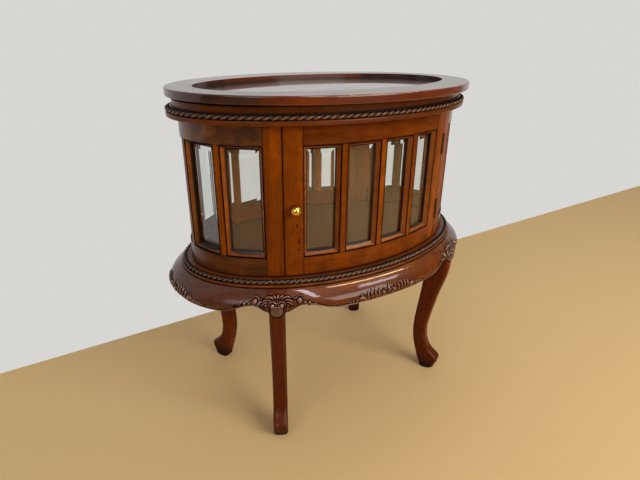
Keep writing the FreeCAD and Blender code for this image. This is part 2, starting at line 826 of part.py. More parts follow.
def trayOval(name, insetLength, insetDepth, bottom, height):
    outline = doc.addObject("Part::Ellipse", name + "_outline")
    outline.setExpression("MajorRadius", "Sizes.caseHalfLength + Sizes.trayEndOverhang - " + insetLength)
    outline.setExpression("MinorRadius", "Sizes.caseHalfDepth + Sizes.traySideOverhang - " + insetDepth)
    outline.setExpression("Placement.Base.z", bottom)
    return extrude(name, outline, height)


def sector(name, corner, across, bottom, height):
    """Triangular prism from the centre to past a corner and its mirror image: one side of an oval ring."""
    far = corner * (3 * halfLength / corner.Length)
    mirror = Vector(-far.x, far.y, 0) if across == acrossX else Vector(far.x, -far.y, 0)
    centre = Vector(0, 0, 0)
    return plate(name, lines([centre, far, mirror, centre]), bottom, height)


acrossX = Vector(1, 0, 0)
acrossY = Vector(0, 1, 0)
jointAngle = math.radians(read("trayJointAngle"))
trayHalfLength = halfLength + read("trayEndOverhang")
trayHalfDepth = halfDepth + read("traySideOverhang")
trayCorner = Vector(-trayHalfLength * math.cos(jointAngle), -trayHalfDepth * math.sin(jointAngle), 0)
rimOuter = trayOval("rim_outer", "0", "0", trayBottom, "Sizes.trayThickness")
rimRounded = softened("rim_rounded", rimOuter, "trayEdgeRadius")
recess = trayOval("tray_recess", "Sizes.trayRimEnds", "Sizes.trayRimSides", trayBottom, "Sizes.trayThickness")
tonguePlan = ("(Sizes.trayRimEnds - Sizes.trayPanelLap)", "(Sizes.trayRimSides - Sizes.trayPanelLap)")
fieldPlan = ("(Sizes.trayRimEnds + Sizes.trayPanelPlay)", "(Sizes.trayRimSides + Sizes.trayPanelPlay)")
tongue = trayOval("tray_panel_tongue", *tonguePlan, trayBottom, "Sizes.trayTongueThickness")
field = trayOval("tray_panel_field", *fieldPlan, trayBottom, "Sizes.trayPanelThickness")
keep(fuse("tray_panel", tongue, field))
rimRing = cut("rim_ring", cut("rim_opened", rimRounded, recess), tongue)
for side, across, opposite in (("left", acrossY, "right"), ("front", acrossX, "back")):
    span = sector("tray_sector_" + side, trayCorner, across, trayBottom, "Sizes.trayThickness")
    rim = keep(common("tray_rim_" + side, rimRing, span))
    keep(mirrored("tray_rim_" + opposite, rim, acrossX if side == "left" else acrossY))

# ---- apron: a swelling ring cut through by the four legs ----

apronDepth = read("apronDepth")
apronBottom = "Sizes.legHeight - Sizes.apronDepth"
bulgeShare = 0.66


def apronReach(share):
    """Reach of the apron's face as a sheet expression, by the share of its depth below the top."""
    if share < bulgeShare:
        swell = 1 - (1 - share / bulgeShare) ** 2.1
        return "(Sizes.apronTopReach + (Sizes.apronBulge - Sizes.apronTopReach) * %.4f)" % swell
    tuck = ((share - bulgeShare) / (1 - bulgeShare)) ** 1.7
    return "(Sizes.apronBulge - (Sizes.apronBulge - Sizes.apronToeReach) * %.4f)" % tuck


def apronSwell():
    """Solid swelling oval, lofted through ovals from the toe up to the top."""
    rings = []
    for share in (1, 0.92, 0.84, 0.75, 0.66, 0.53, 0.4, 0.27, 0.13, 0):
        ring = doc.addObject("Part::Ellipse", "apron_ring_%02d" % round(100 * share))
        ring.setExpression("MajorRadius", "Sizes.caseHalfLength + " + apronReach(share))
        ring.setExpression("MinorRadius", "Sizes.caseHalfDepth + " + apronReach(share))
        ring.setExpression("Placement.Base.z", "Sizes.legHeight - Sizes.apronDepth * %g" % share)
        rings.append(ring)
    swell = doc.addObject("Part::Loft", "apron_swell")
    swell.Sections = rings
    swell.Solid = True
    swell.Ruled = False
    swell.MaxDegree = 3  # a higher degree makes the face ripple near its top edge
    return swell


legAngle = math.radians(read("legAngle"))
kneeReach = read("apronBulge") - read("kneeSetback")
kneePoint = ovalPoint(legAngle, kneeReach)
kneeOut = outwardAt(legAngle, kneeReach)


def legPlace(inset):
    """Placement with X outwards along the front left leg's own plane, at an inset from the knee."""
    turn = math.degrees(math.atan2(-kneeOut.y, -kneeOut.x))
    return Placement((kneePoint - kneeOut * inset) * -1, Rotation(Vector(0, 0, 1), turn))


def legPrism(name):
    """Upright block through the apron, where the leg stands."""
    prism = doc.addObject("Part::Box", name)
    prism.setExpression("Length", "Sizes.legPostInset + Sizes.legWidth / 2")
    prism.setExpression("Width", "Sizes.legWidth")
    prism.setExpression("Height", "Sizes.apronDepth")
    prism.Placement = legPlace(read("legPostInset")).multiply(
        Placement(Vector(0, -read("legWidth") / 2, 0), Rotation())
    )
    prism.setExpression("Placement.Base.z", apronBottom)
    return prism


# Side profile of the cabriole leg: share of its height below the apron, then how far its back and its front
# stand outwards of the middle of the foot.
legProfile = [
    (0.000, -16.0, 16.0),
    (0.035, -19.5, 24.5),
    (0.075, -24.5, 30.5),
    (0.112, -28.5, 31.0),
    (0.148, -32.0, 17.5),
    (0.190, -36.0, 4.5),
    (0.300, -42.5, -7.5),
    (0.435, -42.5, -5.5),
    (0.585, -37.5, 4.0),
    (0.735, -32.0, 15.0),
    (0.875, -28.5, 27.5),
    (0.975, -27.5, 32.0),
    (1.060, -27.5, 32.5),
]
legCornerShare = 0.3
legSlimming = 0.5
cabochonLean = 14


def roundedSection(sketch, back, front, halfWidth):
    """Rounded rectangle from back to front, centred across the leg."""
    radius = legCornerShare * min(front - back, 2 * halfWidth)
    centres = [
        (front - radius, halfWidth - radius),
        (back + radius, halfWidth - radius),
        (back + radius, radius - halfWidth),
        (front - radius, radius - halfWidth),
    ]
    for index, (x, y) in enumerate(centres):
        start = index * math.pi / 2
        circle = Part.Circle(Vector(x, y, 0), Vector(0, 0, 1), radius)
        sketch.addGeometry(Part.ArcOfCircle(circle, start, start + math.pi / 2), False)
        end = start + math.pi / 2
        nextX, nextY = centres[(index + 1) % 4]
        offset = Vector(radius * math.cos(end), radius * math.sin(end), 0)
        side = lines([Vector(x, y, 0) + offset, Vector(nextX, nextY, 0) + offset])
        sketch.addGeometry(side, False)


def legShaft(name, place):
    """Curved shaft from the foot to inside the knee, lofted through horizontal sections."""
    body = doc.addObject("PartDesign::Body", name)
    plane = [feature for feature in body.Origin.OriginFeatures if feature.Role == "XY_Plane"][0]
    sections = []
    for index, (share, back, front) in enumerate(legProfile):
        sketch = body.newObject("Sketcher::SketchObject", "%s_section_%02d" % (name, index))
        sketch.AttachmentSupport = [(plane, "")]
        sketch.MapMode = "FlatFace"
        sketch.setExpression("AttachmentOffset.Base.z", "(Sizes.legHeight - Sizes.apronDepth) * %g" % share)
        roundedSection(sketch, back, front, read("legWidth") / 2 - legSlimming)
        sections.append(sketch)
    shaft = body.newObject("PartDesign::AdditiveLoft", name + "_loft")
    shaft.Profile = sections[0]
    shaft.Sections = sections[1:]
    shaft.Ruled = False
    body.Placement = place
    return body


def kneeCabochon():
    """Domed oval carved on the knee, leaning in with the apron's toe."""
    dome = doc.addObject("Part::Ellipsoid", "knee_cabochon")
    dome.setExpression("Radius1", "Sizes.cabochonHalfHeight")
    dome.setExpression("Radius2", "Sizes.cabochonDepth")
    dome.setExpression("Radius3", "Sizes.cabochonHalfWidth")
    lean = Placement(Vector(0, 0, 0), Rotation(Vector(0, 1, 0), cabochonLean))
    dome.Placement = legPlace(read("cabochonInset")).multiply(lean)
    dome.setExpression("Placement.Base.z", apronBottom + " + Sizes.cabochonRise")
    return dome


swell = apronSwell()
apronHollow = ovalSolid("apron_hollow", "Sizes.apronInnerReach", apronBottom, "Sizes.apronDepth")
legPost = legPrism("leg_post_space")
knee = common("leg_knee", swell, legPost)
shaft = legShaft("leg_shaft", legPlace(read("footSetback")))


def fourCorners(stem, source):
    """The front left piece and its three mirror images, named by their corners."""
    left = source
    left.Label = stem % "front_left"
    right = mirrored(stem % "front_right", left, acrossX)
    backLeft = mirrored(stem % "back_left", left, acrossY)
    backRight = mirrored(stem % "back_right", right, acrossY)
    return [left, right, backLeft, backRight]


for leg in fourCorners("leg_%s", fuse("leg_blank", shaft, knee, kneeCabochon())):
    keep(leg)
blockSpan = doc.addObject("Part::Box", "corner_block_span")
blockSpan.setExpression("Length", "Sizes.legPostInset")
blockSpan.setExpression("Width", "Sizes.legWidth + 2 * Sizes.cornerBlockWidth")
blockSpan.setExpression("Height", "Sizes.cornerBlockHeight")
blockSpan.Placement = legPlace(read("legPostInset")).multiply(
    Placement(Vector(0, -read("legWidth") / 2 - read("cornerBlockWidth"), 0), Rotation())
)
blockSpan.setExpression("Placement.Base.z", "Sizes.legHeight - Sizes.cornerBlockHeight")
blockPair = cut("corner_block_pair", common("corner_block_inside", blockSpan, apronHollow), legPost)
keep(group("corner_blocks", fourCorners("corner_blocks_%s", blockPair)))


def edgeTool(name, kneeAt, centreRise, points, turn, direction):
    """Prism that shapes an apron's lower edge, seen along one axis and mirrored about its middle."""
    low = read("legHeight") - apronDepth
    rises = [(kneeAt - fromKnee, low + share * read("apronPeakRise")) for fromKnee, share in points]
    path = [Vector(-across, height, 0) for across, height in rises]
    path.append(Vector(0, low + centreRise, 0))
    path += [Vector(across, height, 0) for across, height in reversed(rises)]
    curve = Part.BSplineCurve()
    curve.interpolate(path)
    left, right = path[0], path[-1]
    below = low - apronDepth
    sketch = doc.addObject("Sketcher::SketchObject", name + "_outline")
    sketch.addGeometry(curve, False)
    sketch.addGeometry(lines([right, Vector(right.x, below, 0), Vector(left.x, below, 0), left]), False)
    sketch.Placement = Placement(Vector(0, 0, 0), turn)
    tool = doc.addObject("Part::Extrusion", name)
    tool.Base = sketch
    tool.DirMode = "Custom"
    tool.Dir = direction
    tool.Solid = True
    tool.setExpression("LengthFwd", "Sizes.caseHalfLength + 2 * Sizes.apronBulge")
    tool.setExpression("LengthRev", "Sizes.caseHalfLength + 2 * Sizes.apronBulge")
    return tool


# Lower edge of each apron: distance from the knee along the elevation, and share of the peak's rise.
longEdge = [(13, 0.42), (23, 0.60), (40, 0.93), (57, 1.00), (80, 0.78), (105, 0.50), (140, 0.39)]
shortEdge = [(5, 0.47), (13, 0.72), (22, 0.97), (30, 1.00), (43, 0.82), (57, 0.55), (73, 0.35), (112, 0.20)]
frontTurn = Rotation(Vector(1, 0, 0), 90)
sideTurn = Rotation(Vector(0, 0, 1), 90).multiply(frontTurn)
longTool = edgeTool("long_edge_tool", kneePoint.x, read("apronFrontRise"), longEdge, frontTurn, acrossY)
shortTool = edgeTool("short_edge_tool", kneePoint.y, read("apronEndRise"), shortEdge, sideTurn, acrossX)
apronRing = cut("apron_ring", swell, apronHollow)
apronOpened = cut("apron_opened", apronRing, fuse("leg_spaces", *fourCorners("leg_post_%s", legPost)))
ringMiddle = (kneePoint - kneeOut * ((kneeReach - read("apronInnerReach")) / 2)) * -1
for side, across, opposite, tool in (
    ("left", acrossY, "right", shortTool),
    ("front", acrossX, "back", longTool),
):
    span = sector("apron_sector_" + side, ringMiddle, across, apronBottom, "Sizes.apronDepth")
    blank = common("apron_blank_" + side, apronOpened, span)
    apron = keep(cut("apron_" + side, blank, tool))
    keep(mirrored("apron_" + opposite, apron, acrossX if side == "left" else acrossY))

# ---- checks and files ----

doc.recompute()
for feature in doc.Objects:
    faults = [state for state in feature.State if state in ("Invalid", "Error")]
    if faults:
        raise RuntimeError("%s is %s" % (feature.Label, ", ".join(faults)))
os.makedirs("parts", exist_ok=True)
for piece in nodes:
    shape = piece.Shape
    if shape.isNull() or not shape.isValid() or not shape.Solids:
        raise RuntimeError("%s has no valid solid" % piece.Label)
    shape.exportStep("parts/%s.step" % piece.Label)
    print("%-24s %2d solids %9.0f mm3" % (piece.Label, len(shape.Solids), shape.Volume))
print("%d nodes" % len(nodes))
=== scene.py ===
import math
import bmesh
import bpy
from mathutils import Matrix, Vector
from mathutils.bvhtree import BVHTree


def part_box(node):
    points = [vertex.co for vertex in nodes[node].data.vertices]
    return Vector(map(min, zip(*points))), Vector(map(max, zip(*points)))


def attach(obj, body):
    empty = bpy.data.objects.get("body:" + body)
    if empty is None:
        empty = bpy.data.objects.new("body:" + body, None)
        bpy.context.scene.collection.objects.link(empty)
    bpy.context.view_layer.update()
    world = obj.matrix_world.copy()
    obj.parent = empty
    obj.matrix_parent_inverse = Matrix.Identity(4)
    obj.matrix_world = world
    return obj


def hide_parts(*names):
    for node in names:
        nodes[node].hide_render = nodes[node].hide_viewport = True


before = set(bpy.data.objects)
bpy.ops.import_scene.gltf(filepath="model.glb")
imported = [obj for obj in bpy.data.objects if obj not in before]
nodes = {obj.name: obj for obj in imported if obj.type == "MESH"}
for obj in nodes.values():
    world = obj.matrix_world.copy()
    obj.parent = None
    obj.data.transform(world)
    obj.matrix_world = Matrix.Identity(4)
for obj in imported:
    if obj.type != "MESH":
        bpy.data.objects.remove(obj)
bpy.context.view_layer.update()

print("frame loaded:", len(nodes), "nodes")


# Plan of the glazed case. Sizes here are in metres, except in the carving.
oval = {"halfLength": 0.338, "halfDepth": 0.207}
joinGap = 0.00002  # points nearer than this are one


# A group's inputs are a list of (name, kind, default), its outputs one of (name, kind).
def newGroup(name, inputs, outputs):
    group = bpy.data.node_groups.new(name, "ShaderNodeTree")
    for title, kind, default in inputs:
        socket = group.interface.new_socket(name=title, in_out="INPUT", socket_type=kind)
        if default is not None:
            socket.default_value = default
    for title, kind in outputs:
        group.interface.new_socket(name=title, in_out="OUTPUT", socket_type=kind)
    return group, group.nodes.new("NodeGroupInput"), group.nodes.new("NodeGroupOutput")


def mathNode(tree, operation, first, second=None, third=None):
    node = tree.nodes.new("ShaderNodeMath")
    node.operation = operation
    for index, value in enumerate((first, second, third)):
        if value is None:
            continue
        if isinstance(value, (int, float)):
            node.inputs[index].default_value = value
        else:
            tree.links.new(value, node.inputs[index])
    return node.outputs[0]


# Stretches a value's range from low-high to toLow-toHigh, with soft ends.
def spread(tree, value, low, high, toLow=0.0, toHigh=1.0):
    node = tree.nodes.new("ShaderNodeMapRange")
    node.interpolation_type = "SMOOTHSTEP"
    node.inputs["From Min"].default_value = low
    node.inputs["From Max"].default_value = high
    node.inputs["To Min"].default_value = toLow
    node.inputs["To Max"].default_value = toHigh
    tree.links.new(value, node.inputs["Value"])
    return node.outputs["Result"]


def noiseNode(tree, vector, scale, detail=3.0, roughness=0.5, distortion=0.0):
    node = tree.nodes.new("ShaderNodeTexNoise")
    node.inputs["Detail"].default_value = detail
    node.inputs["Roughness"].default_value = roughness
    node.inputs["Distortion"].default_value = distortion
    if isinstance(scale, (int, float)):
        node.inputs["Scale"].default_value = scale
    else:
        tree.links.new(scale, node.inputs["Scale"])
    tree.links.new(vector, node.inputs["Vector"])
    return node.outputs["Fac"]


def mixColour(tree, factor, first, second):
    node = tree.nodes.new("ShaderNodeMix")
    node.data_type = "RGBA"
    colourA = [s for s in node.inputs if s.name == "A" and s.type == "RGBA"][0]
    colourB = [s for s in node.inputs if s.name == "B" and s.type == "RGBA"][0]
    amount = [s for s in node.inputs if s.name == "Factor" and s.type == "VALUE"][0]
    for socket, value in ((amount, factor), (colourA, first), (colourB, second)):
        if isinstance(value, (int, float)):
            socket.default_value = value
        elif isinstance(value, tuple):
            socket.default_value = (*value, 1)
        else:
            tree.links.new(value, socket)
    return [s for s in node.outputs if s.type == "RGBA"][0]


# Where the camera stands and how it is turned, in degrees.
view = {
    "place": (-0.60645, -0.92441, 0.85156),
    "heading": 32.37,  # from +Y towards +X
    "down": 23.66,
    "roll": 0.51,
    "lens": 26.61,  # millimetres
    "sensor": 36,
    "shiftX": 0.0017,
    "nearest": 0.02,
}


def addCamera():
    lens = bpy.data.cameras.new("studioCamera")
    lens.lens = view["lens"]
    lens.sensor_width = view["sensor"]
    lens.shift_x = view["shiftX"]
    lens.clip_start = view["nearest"]
    camera = bpy.data.objects.new("studioCamera", lens)
    turn = Matrix.Rotation(-math.radians(view["heading"]), 4, "Z")
    tilt = Matrix.Rotation(math.radians(90 - view["down"]), 4, "X")
    roll = Matrix.Rotation(math.radians(view["roll"]), 4, "Z")
    camera.matrix_world = Matrix.Translation(view["place"]) @ turn @ tilt @ roll
    bpy.context.scene.collection.objects.link(camera)
    bpy.context.scene.camera = camera


# Each lamp: place, the point it faces, length and width, power, colour. Ceiling lamps only give highlights.
lamps = {
    "softFront": ((0.9, -2.6, 1.7), (0, 0, 0.45), (1.8, 1.4), 60, (1.0, 0.96, 0.88)),
    "windowLeft": ((-2.6, -1.6, 1.9), (0, 0, 0.45), (1.6, 1.4), 14, (1.0, 0.98, 0.96)),
    "ceilingTube": ((-0.06, -1.1, 2.4), (-0.06, -1.1, 0), (0.14, 1.3), 16, (0.88, 0.9, 1.0)),
    "ceilingTubeRight": ((1.45, -1.3, 2.4), (1.45, -1.3, 0), (1.1, 0.26), 16, (0.92, 0.9, 1.0)),
    "ceilingLeft": ((-1.9, -1.7, 2.4), (-1.9, -1.7, 0), (0.9, 0.9), 24, (0.95, 0.95, 1.0)),
    "ceilingWarm": ((1.2, -0.72, 2.4), (1.2, -0.72, 0), (1.7, 0.08), 40, (1.0, 0.72, 0.36)),
}


def addLamps():
    for name, (place, target, size, power, colour) in lamps.items():
        lamp = bpy.data.lights.new(name, "AREA")
        lamp.shape = "RECTANGLE"
        lamp.size, lamp.size_y = size
        lamp.energy = power
        lamp.color = colour
        holder = bpy.data.objects.new(name, lamp)
        holder.location = place
        holder.visible_diffuse = not name.startswith("ceiling")
        if place[:2] != target[:2]:
            holder.rotation_mode = "QUATERNION"
            holder.rotation_quaternion = (Vector(target) - Vector(place)).to_track_quat("-Z", "Y")
        bpy.context.scene.collection.objects.link(holder)


surroundings = {
    "floorRadius": 6.0,
    "floorSides": 64,
    "floorColour": (0.78, 0.54, 0.25),
    "floorRoughness": 0.7,
    "wallBehind": 0.40,  # distance of the pale wall behind the table's middle
    "wallHalf": 4.0,
    "wallColour": (0.68, 0.675, 0.655),
    "wallFill": 0.5,  # light that the wall gives back to the table
    "wallFillColour": (0.95, 0.95, 0.93),
    "room": ((1.0, 0.84, 0.66), 0.16),
    "ceiling": ((1.0, 0.84, 0.64), 0.37),
    "seen": ((0.93, 0.93, 0.92), 1.0),  # the world where it is looked at
    "ceilingWay": (0, 0.3, 0.95),
    "ceilingBlend": (0.05, 0.7),  # from room light to ceiling light, by how squarely a ray faces ceilingWay
}


# Masks of the rays that should meet the pale backdrop: with mirrors and without.
def isSeen(tree):
    path = tree.nodes.new("ShaderNodeLightPath")
    seen = mathNode(tree, "MAXIMUM", path.outputs["Is Camera Ray"], path.outputs["Is Transmission Ray"])
    return mathNode(tree, "MAXIMUM", seen, path.outputs["Is Glossy Ray"]), seen


def addWorld():
    world = bpy.data.worlds.new("studioWorld")
    bpy.context.scene.world = world
    world.use_nodes = True
    tree = world.node_tree
    tree.nodes.clear()
    link = tree.links.new
    way = tree.nodes.new("ShaderNodeTexCoord").outputs["Generated"]
    facing = tree.nodes.new("ShaderNodeVectorMath")
    facing.operation = "DOT_PRODUCT"
    facing.inputs[1].default_value = surroundings["ceilingWay"]
    link(way, facing.inputs[0])
    lights = []
    for colour, strength in (surroundings["room"], surroundings["ceiling"], surroundings["seen"]):
        light = tree.nodes.new("ShaderNodeBackground")
        light.inputs["Color"].default_value = (*colour, 1)
        light.inputs["Strength"].default_value = strength
        lights.append(light.outputs[0])
    around = tree.nodes.new("ShaderNodeMixShader")
    mix = tree.nodes.new("ShaderNodeMixShader")
    link(spread(tree, facing.outputs["Value"], *surroundings["ceilingBlend"]), around.inputs[0])
    link(lights[0], around.inputs[1])
    link(lights[1], around.inputs[2])
    link(isSeen(tree)[1], mix.inputs[0])
    link(around.outputs[0], mix.inputs[1])
    link(lights[2], mix.inputs[2])
    link(mix.outputs[0], tree.nodes.new("ShaderNodeOutputWorld").inputs["Surface"])


def addStagePiece(name, mesh, finish):
    data = bpy.data.meshes.new(name)
    mesh.to_mesh(data)
    mesh.free()
    data.materials.append(finish)
    piece = bpy.data.objects.new(name, data)
    bpy.context.scene.collection.objects.link(piece)


def addFloor():
    finish = bpy.data.materials.new("studioFloorFinish")
    finish.use_nodes = True
    shader = finish.node_tree.nodes["Principled BSDF"]
    shader.inputs["Base Color"].default_value = (*surroundings["floorColour"], 1)
    shader.inputs["Roughness"].default_value = surroundings["floorRoughness"]
    mesh = bmesh.new()
    radius, sides = surroundings["floorRadius"], surroundings["floorSides"]
    bmesh.ops.create_circle(mesh, cap_ends=True, radius=radius, segments=sides)
    addStagePiece("studioFloor", mesh, finish)


# A pale wall close behind the table, which is clear from its far side.
def addWall():
    finish = bpy.data.materials.new("studioWallFinish")
    finish.use_nodes = True
    tree = finish.node_tree
    tree.nodes.remove(tree.nodes["Principled BSDF"])
    shown = tree.nodes.new("ShaderNodeEmission")
    shown.inputs["Color"].default_value = (*surroundings["wallColour"], 1)
    fill = tree.nodes.new("ShaderNodeEmission")
    fill.inputs["Color"].default_value = (*surroundings["wallFillColour"], 1)
    fill.inputs["Strength"].default_value = surroundings["wallFill"]
    clear = tree.nodes.new("ShaderNodeBsdfTransparent")
    lit = tree.nodes.new("ShaderNodeMixShader")
    sided = tree.nodes.new("ShaderNodeMixShader")
    tree.links.new(isSeen(tree)[0], lit.inputs[0])
    tree.links.new(fill.outputs[0], lit.inputs[1])
    tree.links.new(shown.outputs[0], lit.inputs[2])
    tree.links.new(tree.nodes.new("ShaderNodeNewGeometry").outputs["Backfacing"], sided.inputs[0])
    tree.links.new(lit.outputs[0], sided.inputs[1])
    tree.links.new(clear.outputs[0], sided.inputs[2])
    tree.links.new(sided.outputs[0], tree.nodes["Material Output"].inputs["Surface"])
    mesh = bmesh.new()
    half = surroundings["wallHalf"]
    bmesh.ops.create_grid(mesh, x_segments=1, y_segments=1, size=half)
    bmesh.ops.rotate(mesh, verts=mesh.verts, matrix=Matrix.Rotation(math.radians(90), 3, "X"))
    bmesh.ops.translate(mesh, verts=mesh.verts, vec=(0, surroundings["wallBehind"], half))
    addStagePiece("studioWall", mesh, finish)


bpy.context.scene.view_settings.view_transform = "Standard"
addCamera()
addLamps()
addWorld()
addFloor()
addWall()
print("camera, light, floor and wall ready")


# The grain's parts: the input that scales one, its noise's detail, roughness and distortion, and the
# range of the noise that shows.
grainParts = {
    "Bands": ("Band Scale", (4, 0.55, 0.6), (0.3, 0.7)),
    "Streaks": ("Streak Scale", (6, 0.62, 0.25), (0.3, 0.72)),
    "Pores": ("Pore Scale", (2, 0.5), (0.56, 0.68)),
}


# Mahogany figure: broad bands, fine streaks and short dark pores along the stretched direction.
def makeGrainGroup():
    group, inside, out = newGroup(
        "mahoganyGrain",
        [
            ("Vector", "NodeSocketVector", None),
            ("Band Scale", "NodeSocketFloat", 9.0),
            ("Streak Scale", "NodeSocketFloat", 60.0),
            ("Pore Scale", "NodeSocketFloat", 420.0),
        ],
        [(part, "NodeSocketFloat") for part in grainParts],
    )
    for part, (scale, look, shown) in grainParts.items():
        noise = noiseNode(group, inside.outputs["Vector"], inside.outputs[scale], *look)
        group.links.new(spread(group, noise, *shown), out.inputs[part])
    return group


# The masks' ranges run from where they start to where they are full.
finishAndShadeLook = {
    "samples": 8,
    "hollowRange": (0.92, 0.5),
    "edgeRange": (0.9, 0.5),
    "patches": (22.0, 5, 0.65, 0.6),  # scale, detail, roughness, distortion
    "patchRange": (0.32, 0.68),
    "broken": (180.0, 3, 0.6),
    "brokenRange": (0.35, 0.6, 0.45, 1.0),
}


# Where a finish is dark and where it is rubbed: painted shade with old dark wax in hollows and joints,
# rubbed edges, and patches of both.
def makeAgeGroup():
    group, inside, out = newGroup(
        "oldFinishAndShade",
        [
            ("Vector", "NodeSocketVector", None),
            ("Hollow Reach", "NodeSocketFloat", 0.006),
            ("Edge Reach", "NodeSocketFloat", 0.002),
        ],
        [("Hollows", "NodeSocketFloat"), ("Edges", "NodeSocketFloat"), ("Patches", "NodeSocketFloat")],
    )
    hollow = group.nodes.new("ShaderNodeAmbientOcclusion")
    hollow.samples = finishAndShadeLook["samples"]
    edge = group.nodes.new("ShaderNodeAmbientOcclusion")
    edge.samples = finishAndShadeLook["samples"]
    edge.inside = True
    edge.only_local = True
    group.links.new(inside.outputs["Hollow Reach"], hollow.inputs["Distance"])
    group.links.new(inside.outputs["Edge Reach"], edge.inputs["Distance"])
    patches = noiseNode(group, inside.outputs["Vector"], *finishAndShadeLook["patches"])
    broken = noiseNode(group, inside.outputs["Vector"], *finishAndShadeLook["broken"])
    # Painted shade down the sides and in the crevices of carved pieces and ropes: 1 there, 0 on a lit
    # crown.
    carved = group.nodes.new("ShaderNodeAttribute")  # 1 in the depth of a carved piece, 0 on its crown
    carved.attribute_name = "paintedCarveShade"
    # Painted shade, with old dark wax, where the surface is hemmed in by near faces.
    dark = spread(group, hollow.outputs["AO"], *finishAndShadeLook["hollowRange"])
    dark = mathNode(group, "MAXIMUM", dark, carved.outputs["Fac"])
    rubbed = spread(group, edge.outputs["AO"], *finishAndShadeLook["edgeRange"])
    rubbed = mathNode(group, "MULTIPLY", rubbed, spread(group, broken, *finishAndShadeLook["brokenRange"]))
    group.links.new(dark, out.inputs["Hollows"])
    group.links.new(rubbed, out.inputs["Edges"])
    group.links.new(spread(group, patches, *finishAndShadeLook["patchRange"]), out.inputs["Patches"])
    return group


# Distance inwards from the outer face of the oval wall.
def makeWallDepthGroup():
    group, inside, out = newGroup(
        "wallDepth", [("Vector", "NodeSocketVector", None)], [("Depth", "NodeSocketFloat")],
    )
    split = group.nodes.new("ShaderNodeSeparateXYZ")
    group.links.new(inside.outputs["Vector"], split.inputs[0])
    squares, slopes = [], []
    for axis, half in (("X", oval["halfLength"]), ("Y", oval["halfDepth"])):
        share = mathNode(group, "DIVIDE", split.outputs[axis], half)
        slope = mathNode(group, "DIVIDE", share, half)
        squares.append(mathNode(group, "MULTIPLY", share, share))
        slopes.append(mathNode(group, "MULTIPLY", slope, slope))
    size = mathNode(group, "SQRT", mathNode(group, "ADD", *squares))
    slope = mathNode(group, "DIVIDE", mathNode(group, "SQRT", mathNode(group, "ADD", *slopes)), size)
    depth = mathNode(group, "DIVIDE", mathNode(group, "SUBTRACT", 1.0, size), slope)
    group.links.new(depth, out.inputs["Depth"])
    return group


grainGroup = makeGrainGroup()
finishAndShadeGroup = makeAgeGroup()
wallDepthGroup = makeWallDepthGroup()

# Stretch of the grain pattern: low along the grain, high across it.
grainWays = {
    "alongX": (0.09, 1.0, 1.0),
    "alongY": (1.0, 0.09, 1.0),
    "upright": (1.0, 1.0, 0.07),
    "round": (0.12, 0.12, 1.0),
    "mottled": (0.5, 0.5, 1.0),
}

woodBasics = {
    "way": "round",
    "light": (0.22, 0.048, 0.004),
    "dark": (0.07, 0.013, 0.0015),
    "streak": (0.13, 0.026, 0.002),
    "pore": (0.02, 0.005, 0.001),
    # colour of the painted shade and old dark wax in hollows
    "hollow": (0.006, 0.003, 0.002),
    "rub": (0.008, 0.004, 0.002),
    # deepShade paints shade on faces that lie deep behind the wall's face, beside the glass.
    "deepShade": None,  # depths behind the wall's face between which the wood turns dark
    "foot": None,  # height below which a leg turns dark
    "knee": None,  # a leg's (light, dark) above kneeHeights, which a leg with a foot also needs
    "bandScale": 9.0,
    "streakScale": 60.0,
    "poreScale": 420.0,
    "streakShare": 0.55,
    "poreShare": 0.35,
    "hollowShare": 0.97,
    "hollowReach": 0.006,
    "rubShare": 0.85,
    "edgeReach": 0.004,
    "patchShare": 0.6,
    "roughness": 0.3,
    "streakRoughness": 0.12,
    "hollowRoughness": 0.35,
    "bending": 1.5,
    "specular": 0.06,
    "coat": 0.04,
    "coatRoughness": 0.1,
    "grainDepth": 0.00008,
}

kneeHeights = (0.324, 0.332)  # where a leg's finish turns into its knee's
